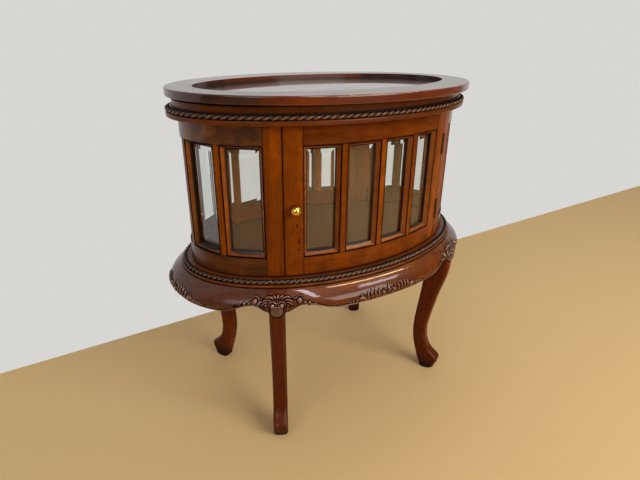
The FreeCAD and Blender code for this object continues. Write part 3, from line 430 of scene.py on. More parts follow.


# A stained and polished mahogany finish with its own colours, grain direction, wear and painted shade.
def makeWood(name, **own):
    values = {**woodBasics, **own}
    finish = bpy.data.materials.new(name)
    finish.use_nodes = True
    tree = finish.node_tree
    link = tree.links.new
    shader = tree.nodes["Principled BSDF"]
    place = tree.nodes.new("ShaderNodeTexCoord").outputs["Object"]
    mapping = tree.nodes.new("ShaderNodeMapping")
    mapping.inputs["Scale"].default_value = grainWays[values["way"]]
    link(place, mapping.inputs["Vector"])
    grain = tree.nodes.new("ShaderNodeGroup")
    grain.node_tree = grainGroup
    link(mapping.outputs["Vector"], grain.inputs["Vector"])
    grain.inputs["Band Scale"].default_value = values["bandScale"]
    grain.inputs["Streak Scale"].default_value = values["streakScale"]
    grain.inputs["Pore Scale"].default_value = values["poreScale"]
    wearAndShade = tree.nodes.new("ShaderNodeGroup")
    wearAndShade.node_tree = finishAndShadeGroup
    link(place, wearAndShade.inputs["Vector"])
    wearAndShade.inputs["Hollow Reach"].default_value = values["hollowReach"]
    wearAndShade.inputs["Edge Reach"].default_value = values["edgeReach"]
    light, dark, rubbed = values["light"], values["dark"], values["rub"]
    if values["knee"]:
        split = tree.nodes.new("ShaderNodeSeparateXYZ")
        link(place, split.inputs[0])
        above = spread(tree, split.outputs["Z"], *kneeHeights)
        light = mixColour(tree, above, light, values["knee"][0])
        dark = mixColour(tree, above, dark, values["knee"][1])
        rubbed = mixColour(tree, above, rubbed, woodBasics["rub"])
    colour = mixColour(tree, grain.outputs["Bands"], dark, light)
    streaks = mathNode(tree, "MULTIPLY", grain.outputs["Streaks"], values["streakShare"])
    colour = mixColour(tree, streaks, colour, values["streak"])
    patches = mathNode(tree, "MULTIPLY", wearAndShade.outputs["Patches"], values["patchShare"])
    colour = mixColour(tree, patches, colour, dark)
    pores = mathNode(tree, "MULTIPLY", grain.outputs["Pores"], values["poreShare"])
    colour = mixColour(tree, pores, colour, values["pore"])
    rub = mathNode(tree, "MULTIPLY", wearAndShade.outputs["Edges"], values["rubShare"])
    colour = mixColour(tree, rub, colour, rubbed)
    # Painted shade with old dark wax in hollows and carving depths; deepShade adds painted shade deep
    # behind the wall, and foot darkens a leg towards the bottom.
    hollows = wearAndShade.outputs["Hollows"]
    if values["deepShade"]:
        wall = tree.nodes.new("ShaderNodeGroup")
        wall.node_tree = wallDepthGroup
        link(place, wall.inputs["Vector"])
        deep = spread(tree, wall.outputs["Depth"], *values["deepShade"])
        hollows = mathNode(tree, "MAXIMUM", hollows, deep)
    if values["foot"]:
        low = spread(tree, split.outputs["Z"], values["foot"], 0.0, 0.0, 1.0)
        hollows = mathNode(tree, "MAXIMUM", hollows, low)
    hollows = mathNode(tree, "MULTIPLY", hollows, values["hollowShare"])
    colour = mixColour(tree, hollows, colour, values["hollow"])
    link(colour, shader.inputs["Base Color"])
    swing = values["streakRoughness"]
    rough = mathNode(tree, "MULTIPLY_ADD", grain.outputs["Streaks"], swing, values["roughness"] - swing / 2)
    rough = mathNode(tree, "MULTIPLY_ADD", hollows, values["hollowRoughness"], rough)
    link(rough, shader.inputs["Roughness"])
    shader.inputs["IOR"].default_value = values["bending"]
    shader.inputs["Specular IOR Level"].default_value = values["specular"]
    shader.inputs["Coat Weight"].default_value = values["coat"]
    shader.inputs["Coat Roughness"].default_value = values["coatRoughness"]
    shader.inputs["Coat IOR"].default_value = values["bending"]
    bump = tree.nodes.new("ShaderNodeBump")
    bump.inputs["Strength"].default_value = 1.0
    bump.inputs["Distance"].default_value = values["grainDepth"]
    height = mathNode(tree, "SUBTRACT", grain.outputs["Streaks"], grain.outputs["Pores"])
    link(height, bump.inputs["Height"])
    link(bump.outputs["Normal"], shader.inputs["Normal"])
    return finish


glassLook = {"tint": (0.93, 0.95, 0.93), "shadow": (0.93, 0.95, 0.94), "bending": 1.6}


def makeGlass():
    finish = bpy.data.materials.new("bevelledGlass")
    finish.use_nodes = True
    tree = finish.node_tree
    shader = tree.nodes["Principled BSDF"]
    shader.inputs["Base Color"].default_value = (*glassLook["tint"], 1)
    shader.inputs["Roughness"].default_value = 0.0
    shader.inputs["IOR"].default_value = glassLook["bending"]
    shader.inputs["Transmission Weight"].default_value = 1.0
    clear = tree.nodes.new("ShaderNodeBsdfTransparent")
    clear.inputs["Color"].default_value = (*glassLook["shadow"], 1)
    path = tree.nodes.new("ShaderNodeLightPath")
    mix = tree.nodes.new("ShaderNodeMixShader")
    tree.links.new(path.outputs["Is Shadow Ray"], mix.inputs[0])
    tree.links.new(shader.outputs[0], mix.inputs[1])
    tree.links.new(clear.outputs[0], mix.inputs[2])
    tree.links.new(mix.outputs[0], tree.nodes["Material Output"].inputs["Surface"])
    return finish


scuffLook = {"noise": (600.0, 4, 0.6), "range": (0.3, 0.8, 0.0, 0.5), "swing": 0.2, "smoother": 0.08}


# Brass, steel or hard plastic: bright on the rubbed faces, dull in patches and hollows.
def makeHardware(name, bright, dull, roughness, metallic=1.0):
    finish = bpy.data.materials.new(name)
    finish.use_nodes = True
    tree = finish.node_tree
    shader = tree.nodes["Principled BSDF"]
    place = tree.nodes.new("ShaderNodeTexCoord").outputs["Object"]
    wearAndShade = tree.nodes.new("ShaderNodeGroup")
    wearAndShade.node_tree = finishAndShadeGroup
    tree.links.new(place, wearAndShade.inputs["Vector"])
    scuffs = noiseNode(tree, place, *scuffLook["noise"])
    colour = mixColour(tree, spread(tree, scuffs, *scuffLook["range"]), bright, dull)
    colour = mixColour(tree, wearAndShade.outputs["Hollows"], colour, dull)
    tree.links.new(colour, shader.inputs["Base Color"])
    rough = mathNode(tree, "MULTIPLY_ADD", scuffs, scuffLook["swing"], roughness - scuffLook["smoother"])
    tree.links.new(rough, shader.inputs["Roughness"])
    shader.inputs["Metallic"].default_value = metallic
    return finish


apronTones = ((0.26, 0.059, 0.003), (0.09, 0.017, 0.001))
orangeRub = (0.62, 0.2, 0.045)
uprightWood = makeWood(
    "uprightMahogany", way="upright", light=(0.42, 0.095, 0.001), dark=(0.13, 0.026, 0.0005),
    streak=(0.2, 0.041, 0.0006), bandScale=16.0, streakScale=90.0,
)
railWood = makeWood(
    "railMahogany", light=(0.3, 0.064, 0.002), dark=(0.07, 0.013, 0.001), streak=(0.16, 0.032, 0.001),
    bandScale=14.0,
)
endRailWood = makeWood(
    "endRailFigure", way="mottled", light=(0.32, 0.09, 0.016), dark=(0.025, 0.008, 0.003),
    streak=(0.1, 0.028, 0.005), bandScale=48.0, patchShare=0.5, specular=0.25, coat=0.3,
)
endLowRailWood = makeWood(
    "endLowRailMahogany", light=(0.19, 0.045, 0.004), dark=(0.03, 0.008, 0.001), streak=(0.09, 0.02, 0.002),
    bandScale=30.0, specular=0.15, coat=0.15,
)
# The beads' deep faces beside the glass take painted shade.
beadWood = makeWood(
    "beadMahogany", light=(0.44, 0.12, 0.01), dark=(0.2, 0.045, 0.003), rub=orangeRub, rubShare=0.3,
    edgeReach=0.003, hollowReach=0.005, deepShade=(0.007, 0.01), hollow=(0.002, 0.0015, 0.001),
    specular=0.15, coat=0.25, coatRoughness=0.16,
)
# The rope's bright colour paints the highlights on its strands, and its near-black hollow colour paints the
# shade in its crevices.
ropeLitWood = makeWood(
    "ropePaintedLightMahogany", light=(0.5, 0.18, 0.05), dark=(0.26, 0.075, 0.016), streak=(0.35, 0.11, 0.024),
    hollow=(0.009, 0.005, 0.003), hollowShare=1.0, hollowReach=0.003, rubShare=0.0, bandScale=40.0,
    roughness=0.34, specular=0.3, coat=0.35, coatRoughness=0.2,
)
bandWood = makeWood(
    "bandMahogany", light=(0.25, 0.06, 0.004), dark=(0.09, 0.018, 0.001), specular=0.12, coat=0.1,
)
frontApronWood = makeWood(
    "apronMahogany", light=apronTones[0], dark=apronTones[1], specular=0.1, coat=0.4, coatRoughness=0.06,
)
# The ends' darker, greyer tone paints a dull grey sheen and shade on the table's end aprons.
endApronSheenWood = makeWood(
    "endApronPaintedSheenMahogany", light=(0.13, 0.038, 0.012), dark=(0.055, 0.017, 0.007), specular=0.2, coat=0.4,
)
# The carving's light colour paints highlights on its crowns, and its near-black hollow colour paints shade
# down its sides.
carvedLitWood = makeWood(
    "carvedPaintedLightMahogany", light=(0.34, 0.1, 0.026), dark=(0.16, 0.038, 0.007), streak=(0.24, 0.062, 0.014),
    hollow=(0.002, 0.0015, 0.001), hollowShare=1.0, rubShare=0.0, hollowReach=0.004, specular=0.4, coat=1.0,
    coatRoughness=0.16, bandScale=40.0,
)
legWood = makeWood(
    "legMahogany", way="upright", light=(0.18, 0.03, 0.001), dark=(0.07, 0.01, 0.0005),
    streak=(0.11, 0.017, 0.0008), rub=(0.3, 0.09, 0.015), rubShare=0.45, edgeReach=0.006, knee=apronTones,
    foot=0.05, specular=0.08, coat=0.1, coatRoughness=0.12,
)
trayPolish = {"specular": 0.2, "coat": 0.66, "coatRoughness": 0.07, "rubShare": 0.2}
longRimWood = makeWood(
    "longRimMahogany", way="alongX", light=(0.21, 0.034, 0.0008), dark=(0.08, 0.009, 0.0004),
    hollowReach=0.014, **trayPolish,
)
# The end rims' dark, greyish tone paints a dull grey sheen and shade on them.
endRimSheenWood = makeWood(
    "endRimPaintedSheenMahogany", way="alongY", light=(0.055, 0.015, 0.008), dark=(0.022, 0.007, 0.004),
    hollowReach=0.014, **trayPolish,
)
panelWood = makeWood(
    "panelMahogany", way="alongX", light=(0.15, 0.03, 0.008), dark=(0.06, 0.012, 0.004), specular=0.5,
    coat=1.0, coatRoughness=0.05, rubShare=0.0,
)
# Near-black skin for old wax and filled dents, and for painted shade in joints, quirks, carving grounds and
# round the knee bosses.
blackWaxAndShade = makeWood(
    "blackWaxAndShade", light=(0.006, 0.0035, 0.002), dark=(0.004, 0.0025, 0.0015), streak=(0.006, 0.003, 0.002),
    rubShare=0.0, roughness=0.8, specular=0.02, coat=0.0,
)
# Its pale greyish colour paints the sheen on the polished knee boss.
bossSheenWood = makeWood(
    "bossPaintedSheenMahogany", light=(0.14, 0.05, 0.035), dark=(0.06, 0.018, 0.012), streak=(0.09, 0.028, 0.02),
    bandScale=60.0, hollowShare=0.5, rubShare=0.0, specular=0.5, coat=1.0, coatRoughness=0.2,
)
# A light colour that paints the highlight along the apron's edge bead.
edgeHighlightWood = makeWood(
    "edgePaintedHighlightMahogany", light=(0.4, 0.15, 0.05), dark=(0.25, 0.07, 0.02), streak=(0.3, 0.1, 0.03), rubShare=0.0,
    specular=0.4, coat=0.8, coatRoughness=0.15,
)
insideWood = makeWood(
    "caseFloorWood", way="alongX", light=(0.12, 0.04, 0.007), dark=(0.1, 0.032, 0.005),
    streak=(0.1, 0.032, 0.005), streakShare=0.1, patchShare=0.2, poreShare=0.0, hollowShare=0.4,
    rubShare=0.0, roughness=0.65, coat=0.0, grainDepth=0.0,
)
plainWood = makeWood(
    "secondaryWood", light=(0.32, 0.2, 0.1), dark=(0.2, 0.11, 0.05), roughness=0.7, coat=0.0,
)
glass = makeGlass()
brass = makeHardware("polishedBrass", (0.92, 0.56, 0.1), (0.42, 0.22, 0.03), 0.2)
oldBrass = makeHardware("agedBrass", (0.07, 0.045, 0.02), (0.02, 0.014, 0.008), 0.45)
steel = makeHardware("platedSteel", (0.55, 0.55, 0.56), (0.3, 0.29, 0.28), 0.4)
brownPlastic = makeHardware("catchHousing", (0.09, 0.045, 0.02), (0.04, 0.02, 0.01), 0.5, 0.0)
print("finishes ready")

# Words in the nodes' names that wear each finish.
finishes = {
    uprightWood: ["post", "stile", "mullions"],
    railWood: ["door_bottom_rail", "door_top_rail", "back_bottom_rail", "back_top_rail"],
    endRailWood: ["end_top_rail"],
    endLowRailWood: ["end_bottom_rail"],
    beadWood: ["glazing_beads"],
    ropeLitWood: ["rope_moulding"],
    bandWood: ["case_floor_board", "case_top_board", "neck_frieze", "tray_rest_board"],
    frontApronWood: ["apron_front", "apron_back"],
    endApronSheenWood: ["apron_left", "apron_right"],
    legWood: ["leg_"],
    longRimWood: ["tray_rim_front", "tray_rim_back"],
    endRimSheenWood: ["tray_rim_left", "tray_rim_right"],
    panelWood: ["tray_panel"],
    plainWood: ["corner_blocks"],
    glass: ["panes"],
    brass: ["door_knob"],
    oldBrass: ["hinge_leaves", "hinge_pins"],
    steel: ["knob_screw", "catch_strike_plate"],
    brownPlastic: ["magnetic_catch"],
}


def wear(piece, finish):
    piece.data.materials.clear()
    piece.data.materials.append(finish)
    return piece


def dressNodes():
    for name, node in nodes.items():
        for finish, words in finishes.items():
            if any(word in name for word in words):
                wear(node, finish)


dressNodes()
print("pieces dressed")


# The patches of faces that hang together in a mesh.
def joinedPatches(mesh):
    waiting = set(mesh.faces)
    patches = []
    for first in mesh.faces:
        if first in waiting:
            waiting.discard(first)
            patch, rim = [first], [first]
            while rim:
                near = {face for side in rim.pop().edges for face in side.link_faces} & waiting
                waiting -= near
                patch += near
                rim += near
            patches.append(patch)
    return patches


# Turns each patch away from the inside of its form, or an open one away from the point on the floor
# under the table's middle.
def faceOutwards(mesh):
    bmesh.ops.recalc_face_normals(mesh, faces=mesh.faces)
    for patch in joinedPatches(mesh):
        if sum(face.calc_center_median().dot(face.normal) * face.calc_area() for face in patch) < 0:
            bmesh.ops.reverse_faces(mesh, faces=patch)


# Adds a finished mesh as a piece that rides on a body.
def addPiece(name, mesh, finish, body="cabinet"):
    faceOutwards(mesh)
    for face in mesh.faces:
        face.smooth = True
    data = bpy.data.meshes.new(name)
    mesh.to_mesh(data)
    mesh.free()
    piece = wear(bpy.data.objects.new(name, data), finish)
    bpy.context.scene.collection.objects.link(piece)
    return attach(piece, body)


# An oval that is measured along its edge, by which mouldings and carving are placed.
class OvalLine:
    def __init__(self, halfLength, halfDepth, steps=1440):
        self.halfLength = halfLength
        self.halfDepth = halfDepth
        self.step = 2 * math.pi / steps
        self.lengths = [0.0]
        for index in range(steps):
            gap = (self.at((index + 1) * self.step) - self.at(index * self.step)).length
            self.lengths.append(self.lengths[-1] + gap)

    def at(self, angle):
        return Vector((self.halfLength * math.cos(angle), self.halfDepth * math.sin(angle), 0))

    def total(self):
        return self.lengths[-1]

    def distance(self, angle):
        place = (angle % (2 * math.pi)) / self.step
        index = min(int(place), len(self.lengths) - 2)
        return self.lengths[index] + (self.lengths[index + 1] - self.lengths[index]) * (place - index)

    def angle(self, distance):
        distance %= self.total()
        low, high = 0, len(self.lengths) - 1
        while high - low > 1:
            middle = (low + high) // 2
            if self.lengths[middle] <= distance:
                low = middle
            else:
                high = middle
        share = (distance - self.lengths[low]) / (self.lengths[high] - self.lengths[low])
        return (low + share) * self.step


# The level direction straight out of an oval.
def outwardAt(angle, line):
    return Vector((line.halfDepth * math.cos(angle), line.halfLength * math.sin(angle), 0)).normalized()


# A node's surface, for finding points on it.
def surfaceOf(name):
    source = bmesh.new()
    source.from_mesh(nodes[name].data)
    tree = BVHTree.FromBMesh(source)
    source.free()
    return tree


caseLine = OvalLine(oval["halfLength"], oval["halfDepth"])

# Each rope takes the place of a node. Its cut is the depth of its crevices as a share of its radius.
ropes = {
    "upperRope": {"node": "upper_rope_moulding", "radius": 0.0048, "twists": 124, "cut": 0.6},
    "lowerRope": {"node": "lower_rope_moulding", "radius": 0.0045, "twists": 150, "cut": 0.6},
    "stepsPerTurn": 12,
    "stepsRound": 12,
    "crown": 0.8,  # a lower value is a flatter strand with a narrower crevice
    # A strand's crown that faces outwards is painted light as a highlight; the rest of the strand and its
    # crevices take painted shade.
    "litCrown": (0.66, 0.25),  # where a strand's light top starts, and the blend's width
    "litLean": (0.76, 0.2),  # the same for how squarely it faces outwards
}


# Goes from 0 to 1 over a width that starts at a value.
def ramp(value, start, width):
    return min(1, max(0, (value - start) / width))


# A two-strand rope round the oval: the grid's rows follow the strands, so the crevices stay sharp.
def makeRope(name):
    rope = ropes[name]
    low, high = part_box(rope["node"])
    radius = rope["radius"]
    line = OvalLine(high.x - radius, high.y - radius)
    centre = high.z - radius
    turns = rope["twists"] // 2
    mesh = bmesh.new()
    depth = mesh.verts.layers.float.new("paintedCarveShade")
    steps = turns * ropes["stepsPerTurn"]
    bmesh.ops.create_grid(mesh, x_segments=steps, y_segments=ropes["stepsRound"], size=1)
    for vert in mesh.verts:
        along = (vert.co.x + 1) / 2
        strand = math.pi * (vert.co.y + 1)
        crown = abs(math.sin(strand)) ** ropes["crown"]
        reach = radius * (1 - rope["cut"] * (1 - crown))
        angle = line.angle(along * line.total())
        outward = outwardAt(angle, line)
        lean = strand + 2 * math.pi * turns * along
        offset = outward * (reach * math.cos(lean)) + Vector((0, 0, reach * math.sin(lean)))
        vert.co = line.at(angle) + Vector((0, 0, centre)) + offset
        # Painted highlight on each strand's outward-facing crown, painted shade elsewhere, stored in the
        # shade attribute.
        lit = ramp(crown, *ropes["litCrown"]) * ramp(math.cos(lean), *ropes["litLean"])
        vert[depth] = 1 - lit
    bmesh.ops.remove_doubles(mesh, verts=mesh.verts, dist=joinGap)
    piece = addPiece(name, mesh, ropeLitWood)
    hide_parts(rope["node"])


# A thin stop behind the door's free edge, so that no light shows through the gap.
doorStop = {
    "along": -0.2118,
    "width": 0.018,
    "inset": 0.0263,
    "thickness": 0.003,
    "bottom": 0.3945,
    "top": 0.6985,
    "segments": 6,
}


def addDoorStop():
    line = OvalLine(oval["halfLength"] - doorStop["inset"], oval["halfDepth"] - doorStop["inset"])
    front = caseLine.distance(math.radians(-90))
    height = doorStop["top"] - doorStop["bottom"]
    mesh = bmesh.new()
    bmesh.ops.create_grid(mesh, x_segments=doorStop["segments"], y_segments=1, size=0.5)
    for vert in mesh.verts:
        angle = caseLine.angle(front + doorStop["along"] + vert.co.x * doorStop["width"])
        vert.co = line.at(angle) + Vector((0, 0, doorStop["bottom"] + (vert.co.y + 0.5) * height))
    mesh.normal_update()
    bmesh.ops.solidify(mesh, geom=mesh.faces[:], thickness=doorStop["thickness"])
    addPiece("doorStop", mesh, railWood)


# The grain side of the case's floor, seen through the glass.
caseFloor = {"inset": 0.0268, "top": 0.3959, "sides": 96}


def addCaseFloor():
    mesh = bmesh.new()
    bmesh.ops.create_circle(mesh, cap_ends=True, radius=1, segments=caseFloor["sides"])
    reach = Vector((oval["halfLength"] - caseFloor["inset"], oval["halfDepth"] - caseFloor["inset"], 1))
    bmesh.ops.scale(mesh, vec=reach, verts=mesh.verts)
    bmesh.ops.translate(mesh, vec=(0, 0, caseFloor["top"]), verts=mesh.verts)
    addPiece("caseFloorFace", mesh, insideWood)


# Old dark wax and painted shade in the joint between each glazing bead and its frame.
waxShadeLine = {
    "width": 0.0022,
    "inset": 0.0007,
    "frontShare": 0.004,  # how far back, as a share of the oval, a bead's foremost points may lie
    "steps": 12,
}


# Each opening's (left, right, bottom, top) along the wall, read from the frame of beads in it.
def findOpenings(name):
    source = bmesh.new()
    source.from_mesh(nodes[name].data)
    bmesh.ops.remove_doubles(source, verts=source.verts, dist=joinGap / 2)
    openings = []
    for frameOfBeads in joinedPatches(source):
        places = [vert.co for face in frameOfBeads for vert in face.verts]
        shares = [Vector((place.x / oval["halfLength"], place.y / oval["halfDepth"])) for place in places]
        foremost = max(share.length for share in shares) - waxShadeLine["frontShare"]
        angles = [math.atan2(share.y, share.x) for share in shares if share.length > foremost]
        heights = [place.z for place in places]
        if max(angles) - min(angles) > math.pi:
            angles = [angle % (2 * math.pi) for angle in angles]
        ends = [caseLine.distance(angle) for angle in (min(angles), max(angles))]
        openings.append((*ends, min(heights), max(heights)))
    source.free()
    return openings


def addWaxShadeLines(side, body):
    inner = OvalLine(oval["halfLength"] - waxShadeLine["inset"], oval["halfDepth"] - waxShadeLine["inset"])
    width = waxShadeLine["width"]
    mesh = bmesh.new()
    for left, right, low, high in findOpenings(side + "_glazing_beads"):
        span = (right - left) % caseLine.total()
        strips = [
            (0, span, low, low + width, waxShadeLine["steps"]),
            (0, span, high - width, high, waxShadeLine["steps"]),
            (0, width, low, high, 1),
            (span - width, span, low, high, 1),
        ]
        for start, end, bottom, top, steps in strips:
            made = bmesh.ops.create_grid(mesh, x_segments=steps, y_segments=1, size=0.5)
            for vert in made["verts"]:
                angle = caseLine.angle(left + start + (vert.co.x + 0.5) * (end - start))
                vert.co = inner.at(angle) + Vector((0, 0, bottom + (vert.co.y + 0.5) * (top - bottom)))
    addPiece(side.replace("_e", "E") + "WaxShadeLines", mesh, blackWaxAndShade, body)


# Small filled dents on the lock stile.
dents = {
    "places": [  # distance along the wall, height, half width, half height
        (-0.186, 0.504, 0.0016, 0.0045),
        (-0.1823, 0.4705, 0.0015, 0.007),
        (-0.1835, 0.452, 0.001, 0.003),
    ],
    "proud": 0.0002,
    "sides": 12,
}


def addDents():
    line = OvalLine(oval["halfLength"] + dents["proud"], oval["halfDepth"] + dents["proud"])
    front = line.distance(math.radians(-90))
    mesh = bmesh.new()
    for along, height, halfWidth, halfHeight in dents["places"]:
        made = bmesh.ops.create_circle(mesh, cap_ends=True, radius=1, segments=dents["sides"])
        for vert in made["verts"]:
            angle = line.angle(front + along + vert.co.x * halfWidth)
            vert.co = line.at(angle) + Vector((0, 0, height + vert.co.y * halfHeight))
    addPiece("filledDents", mesh, blackWaxAndShade, "door")


addDoorStop()
addCaseFloor()
addWaxShadeLines("door", "door")
for side in ("back", "left_end", "right_end"):
    addWaxShadeLines(side, "cabinet")
addDents()
print("inner faces and wax lines ready")
makeRope("upperRope")
makeRope("lowerRope")
print("rope mouldings ready")

# The apron's swelling face. Its reaches are outwards of the case's oval.
apron = {
    "top": 0.379,
    "depth": 0.053,
    "topReach": 0.025,
    "bulge": 0.053,
    "toe": 0.037,
    "bulgeShare": 0.66,  # how far down the fullest line lies
    "swellPower": 2.1,
    "tuckPower": 1.7,
    "feel": (0.002, 0.0004),  # the turn and the rise over which its slope is read
}
apronLine = OvalLine(oval["halfLength"] + apron["bulge"], oval["halfDepth"] + apron["bulge"])


def apronReach(height):
    share = min(1, max(0, (apron["top"] - height) / apron["depth"]))
    if share < apron["bulgeShare"]:
        swell = 1 - (1 - share / apron["bulgeShare"]) ** apron["swellPower"]
        return apron["topReach"] + (apron["bulge"] - apron["topReach"]) * swell
    tuck = ((share - apron["bulgeShare"]) / (1 - apron["bulgeShare"])) ** apron["tuckPower"]
    return apron["bulge"] - (apron["bulge"] - apron["toe"]) * tuck


def apronPoint(angle, height):
    reach = apronReach(height)
    x = (oval["halfLength"] + reach) * math.cos(angle)
    y = (oval["halfDepth"] + reach) * math.sin(angle)
    return Vector((x, y, height))


# Turns (distance along the apron from an angle, height above its toe, rise off its face) into a place.
class ApronFace:
    def __init__(self, degrees, shift=0.0, flip=1):
        self.start = apronLine.distance(math.radians(degrees)) + shift
        self.flip = flip

    def place(self, along, up, rise):
        angle = apronLine.angle(self.start + self.flip * along)
        height = apron["top"] - apron["depth"] + up
        here = apronPoint(angle, height)
        turn, lift = apron["feel"]
        across = apronPoint(angle + turn, height) - apronPoint(angle - turn, height)
        upwards = apronPoint(angle, height + lift) - apronPoint(angle, height - lift)
        return here + across.cross(upwards).normalized() * rise


# A smooth line through points, read by its share from 0 to 1.
class SmoothLine:
    def __init__(self, points, steps=6):
        points = [Vector(point) for point in points]
        points = [2 * points[0] - points[1], *points, 2 * points[-1] - points[-2]]
        self.points = []
        for before, start, end, after in zip(points, points[1:], points[2:], points[3:]):
            slope = end - before
            bend = 2 * before - 5 * start + 4 * end - after
            twist = 3 * start - before - 3 * end + after
            for step in range(steps):
                t = step / steps
                self.points.append(0.5 * (2 * start + slope * t + bend * t * t + twist * t ** 3))
        self.points.append(points[-2])
        self.lengths = [0.0]
        for start, end in zip(self.points, self.points[1:]):
            self.lengths.append(self.lengths[-1] + (end - start).length)

    def at(self, share):
        distance = share * self.lengths[-1]
        index = 0
        while index < len(self.points) - 2 and self.lengths[index + 1] < distance:
            index += 1
        start, end = self.points[index], self.points[index + 1]
        gap = max(1e-9, self.lengths[index + 1] - self.lengths[index])
        along = (end - start) / gap
        return start + along * (distance - self.lengths[index]), Vector((-along.y, along.x))


# Reads a list of values by a share from 0 to 1, blending between neighbours.
def readShare(values, share):
    place = share * (len(values) - 1)
    index = min(int(place), len(values) - 2)
    return values[index] + (values[index + 1] - values[index]) * (place - index)


# Carving is measured in millimetres.
carver = {
    "steps": 10,
    "curlSteps": 18,
    "sides": 12,
    # The ground is a black skin of painted shade, with dark wax, round each cut form.
    "ground": 2.0,  # dark ground beside each cut form
    "groundRise": 0.7,
    "groundSteps": 8,
    "groundSides": 8,
    "sink": 0.25,
    # A carved form's crown is painted light as a highlight, and its sides take painted shade.
    "litCrown": (0.36, 0.36),  # where a form's light crown starts, and the blend's width
}


# One carved form and the black ground of painted shade, with dark wax, round it.
def carveStroke(mesh, ground, face, points, widths, rise, steps=carver["steps"]):
    margin = carver["ground"]
    first, last = Vector(points[0]), Vector(points[-1])
    first += (first - Vector(points[1])).normalized() * margin
    last += (last - Vector(points[-2])).normalized() * margin
    wider = [width + margin for width in widths]
    around = [first, *points[1:-1], last]
    groundSteps, groundSides = carver["groundSteps"], carver["groundSides"]
    carveBlank(ground, face, around, wider, carver["groundRise"], groundSteps, groundSides)
    carveBlank(mesh, face, points, widths, rise, steps, carver["sides"])


# A round blank drawn along a line through points, with half widths given from its start to its end.
def carveBlank(mesh, face, points, widths, rise, steps, sides):
    depth = mesh.verts.layers.float["paintedCarveShade"]
    line = SmoothLine(points)
    widest = max(widths)
    made = bmesh.ops.create_uvsphere(mesh, u_segments=sides, v_segments=steps, radius=1)
    for vert in made["verts"]:
        share = min(1, max(0, (1 + vert.co.z) / 2))
        crown = vert.co.y
        here, side = line.at(share)
        half = readShare(widths, share)
        here = here + side * (vert.co.x * half)
        lift = rise * (crown * (0.5 + 0.5 * half / widest)) - carver["sink"]
        # Painted shade down the form's sides, fading to a painted highlight on its crown.
        vert[depth] = 1 - ramp(crown, *carver["litCrown"])
        vert.co = face.place(here.x / 1000, here.y / 1000, lift / 1000)


# Points on a curl that winds in round a centre, from one angle to another in degrees.
def curl(centre, radius, start, end, inner=1.0, count=9):
    points = []
    for index in range(count):
        share = index / (count - 1)
        angle = math.radians(start + (end - start) * share)
        reach = radius * (1 + (inner - 1) * share)
        points.append((centre[0] + reach * math.cos(angle), centre[1] + reach * math.sin(angle)))
    return points


# A round boss, as the points and half widths of a stroke.
def boss(x, y, radius):
    return [(x - radius, y), (x + radius, y)], [radius, radius]


# The spray over each knee: (points, half widths, rise). A point lies along the apron and above its toe.
kneeSpray = {
    "middle": [
        ([(0, 38.5), (0, 42.5), (0, 47)], [1.2, 3.0, 3.2, 0.9], 4.2),
        ([(0, 29), (0, 33), (0, 38)], [0.8, 1.4, 1.0], 2.4),
    ],
    "sides": [
        ([(3, 39.5), (7, 43.4), (12, 44.2)], [1.0, 2.0, 1.0], 3.0),
        (*boss(9.4, 28.2, 4.9), 5.2),
        (curl((9.4, 28.2), 7.6, -40, 200, 0.95), [0.7, 1.3, 1.4, 1.0], 3.0),
        ([(6, 37), (12, 41.4), (20, 42.6), (29, 40.6)], [0.9, 1.7, 1.9, 0.8], 3.8),
        ([(12, 36.8), (19.5, 38.6), (27.5, 37), (34.6, 32.8)], [1.0, 1.6, 1.8, 0.8], 4.0),
        ([(17, 34), (22.5, 34.6), (28.6, 31.8), (33, 27.4)], [1.0, 1.5, 1.6, 0.7], 3.8),
        ([(18.8, 30.4), (23, 30), (27.4, 26.4)], [1.0, 1.4, 0.7], 3.2),
        ([(18.6, 26.8), (21.6, 25.8), (24, 22.6)], [0.8, 1.2, 0.6], 2.6),
        ([(31, 39.6), (36, 40.2), (40, 42.4)], [0.9, 1.4, 0.8], 2.6),
        (*boss(45.6, 36, 5.4), 5.0),
        (curl((45.6, 36), 8.0, 200, -20), [0.7, 1.1, 1.1, 0.6], 2.2),
        (*boss(57, 32.6, 2.8), 3.2),
        (*boss(66, 31.6, 3.4), 3.8),
        ([(72, 30.4), (79, 28.8), (88, 26)], [1.3, 0.8, 0.3], 0.9),
    ],
}

# The spray in the middle of each apron.
spanSpray = {
    "middle": [
        ([(0, 15), (0, 22), (0, 30.5), (1.2, 38)], [1.2, 2.4, 3.4, 2.8, 0.8], 3.8),
    ],
    "sides": [
        ([(3, 15.5), (6.2, 22), (5.6, 29)], [0.7, 1.2, 0.6], 2.0),
        (*boss(14.2, 23.6, 4.8), 4.6),
        (curl((14.2, 23.6), 7.6, 70, 300, 1.0), [0.7, 1.2, 1.2, 0.8], 2.6),
        ([(23.4, 13.6), (26.4, 19.5), (27, 27), (24, 33.6)], [1.2, 2.0, 2.3, 1.2], 3.8),
        ([(32, 13.2), (35.4, 20), (36, 29), (33, 37)], [1.3, 2.2, 2.5, 1.4], 4.2),
        ([(41, 13.4), (44.4, 20), (45.2, 29), (42.8, 36.8)], [1.3, 2.2, 2.5, 1.4], 4.2),
        ([(49.8, 14), (53, 20), (54, 27.5), (52.2, 33.6)], [1.2, 2.0, 2.3, 1.2], 3.8),
        ([(58, 16), (64.4, 22), (72, 22.6), (77, 20)], [1.4, 4.0, 3.9, 0.9], 3.8),
        ([(61, 28.4), (67.6, 29.4), (74.6, 26.2)], [0.6, 1.2, 0.6], 2.0),
        (*boss(81.4, 19.8, 2.8), 3.0),
        (*boss(88.8, 19.2, 2.5), 2.7),
        (*boss(95.4, 18.4, 2.1), 2.3),
        (*boss(101, 17.6, 1.7), 1.8),
        ([(104, 17), (112, 15.4)], [0.8, 0.3], 0.9),
    ],
}


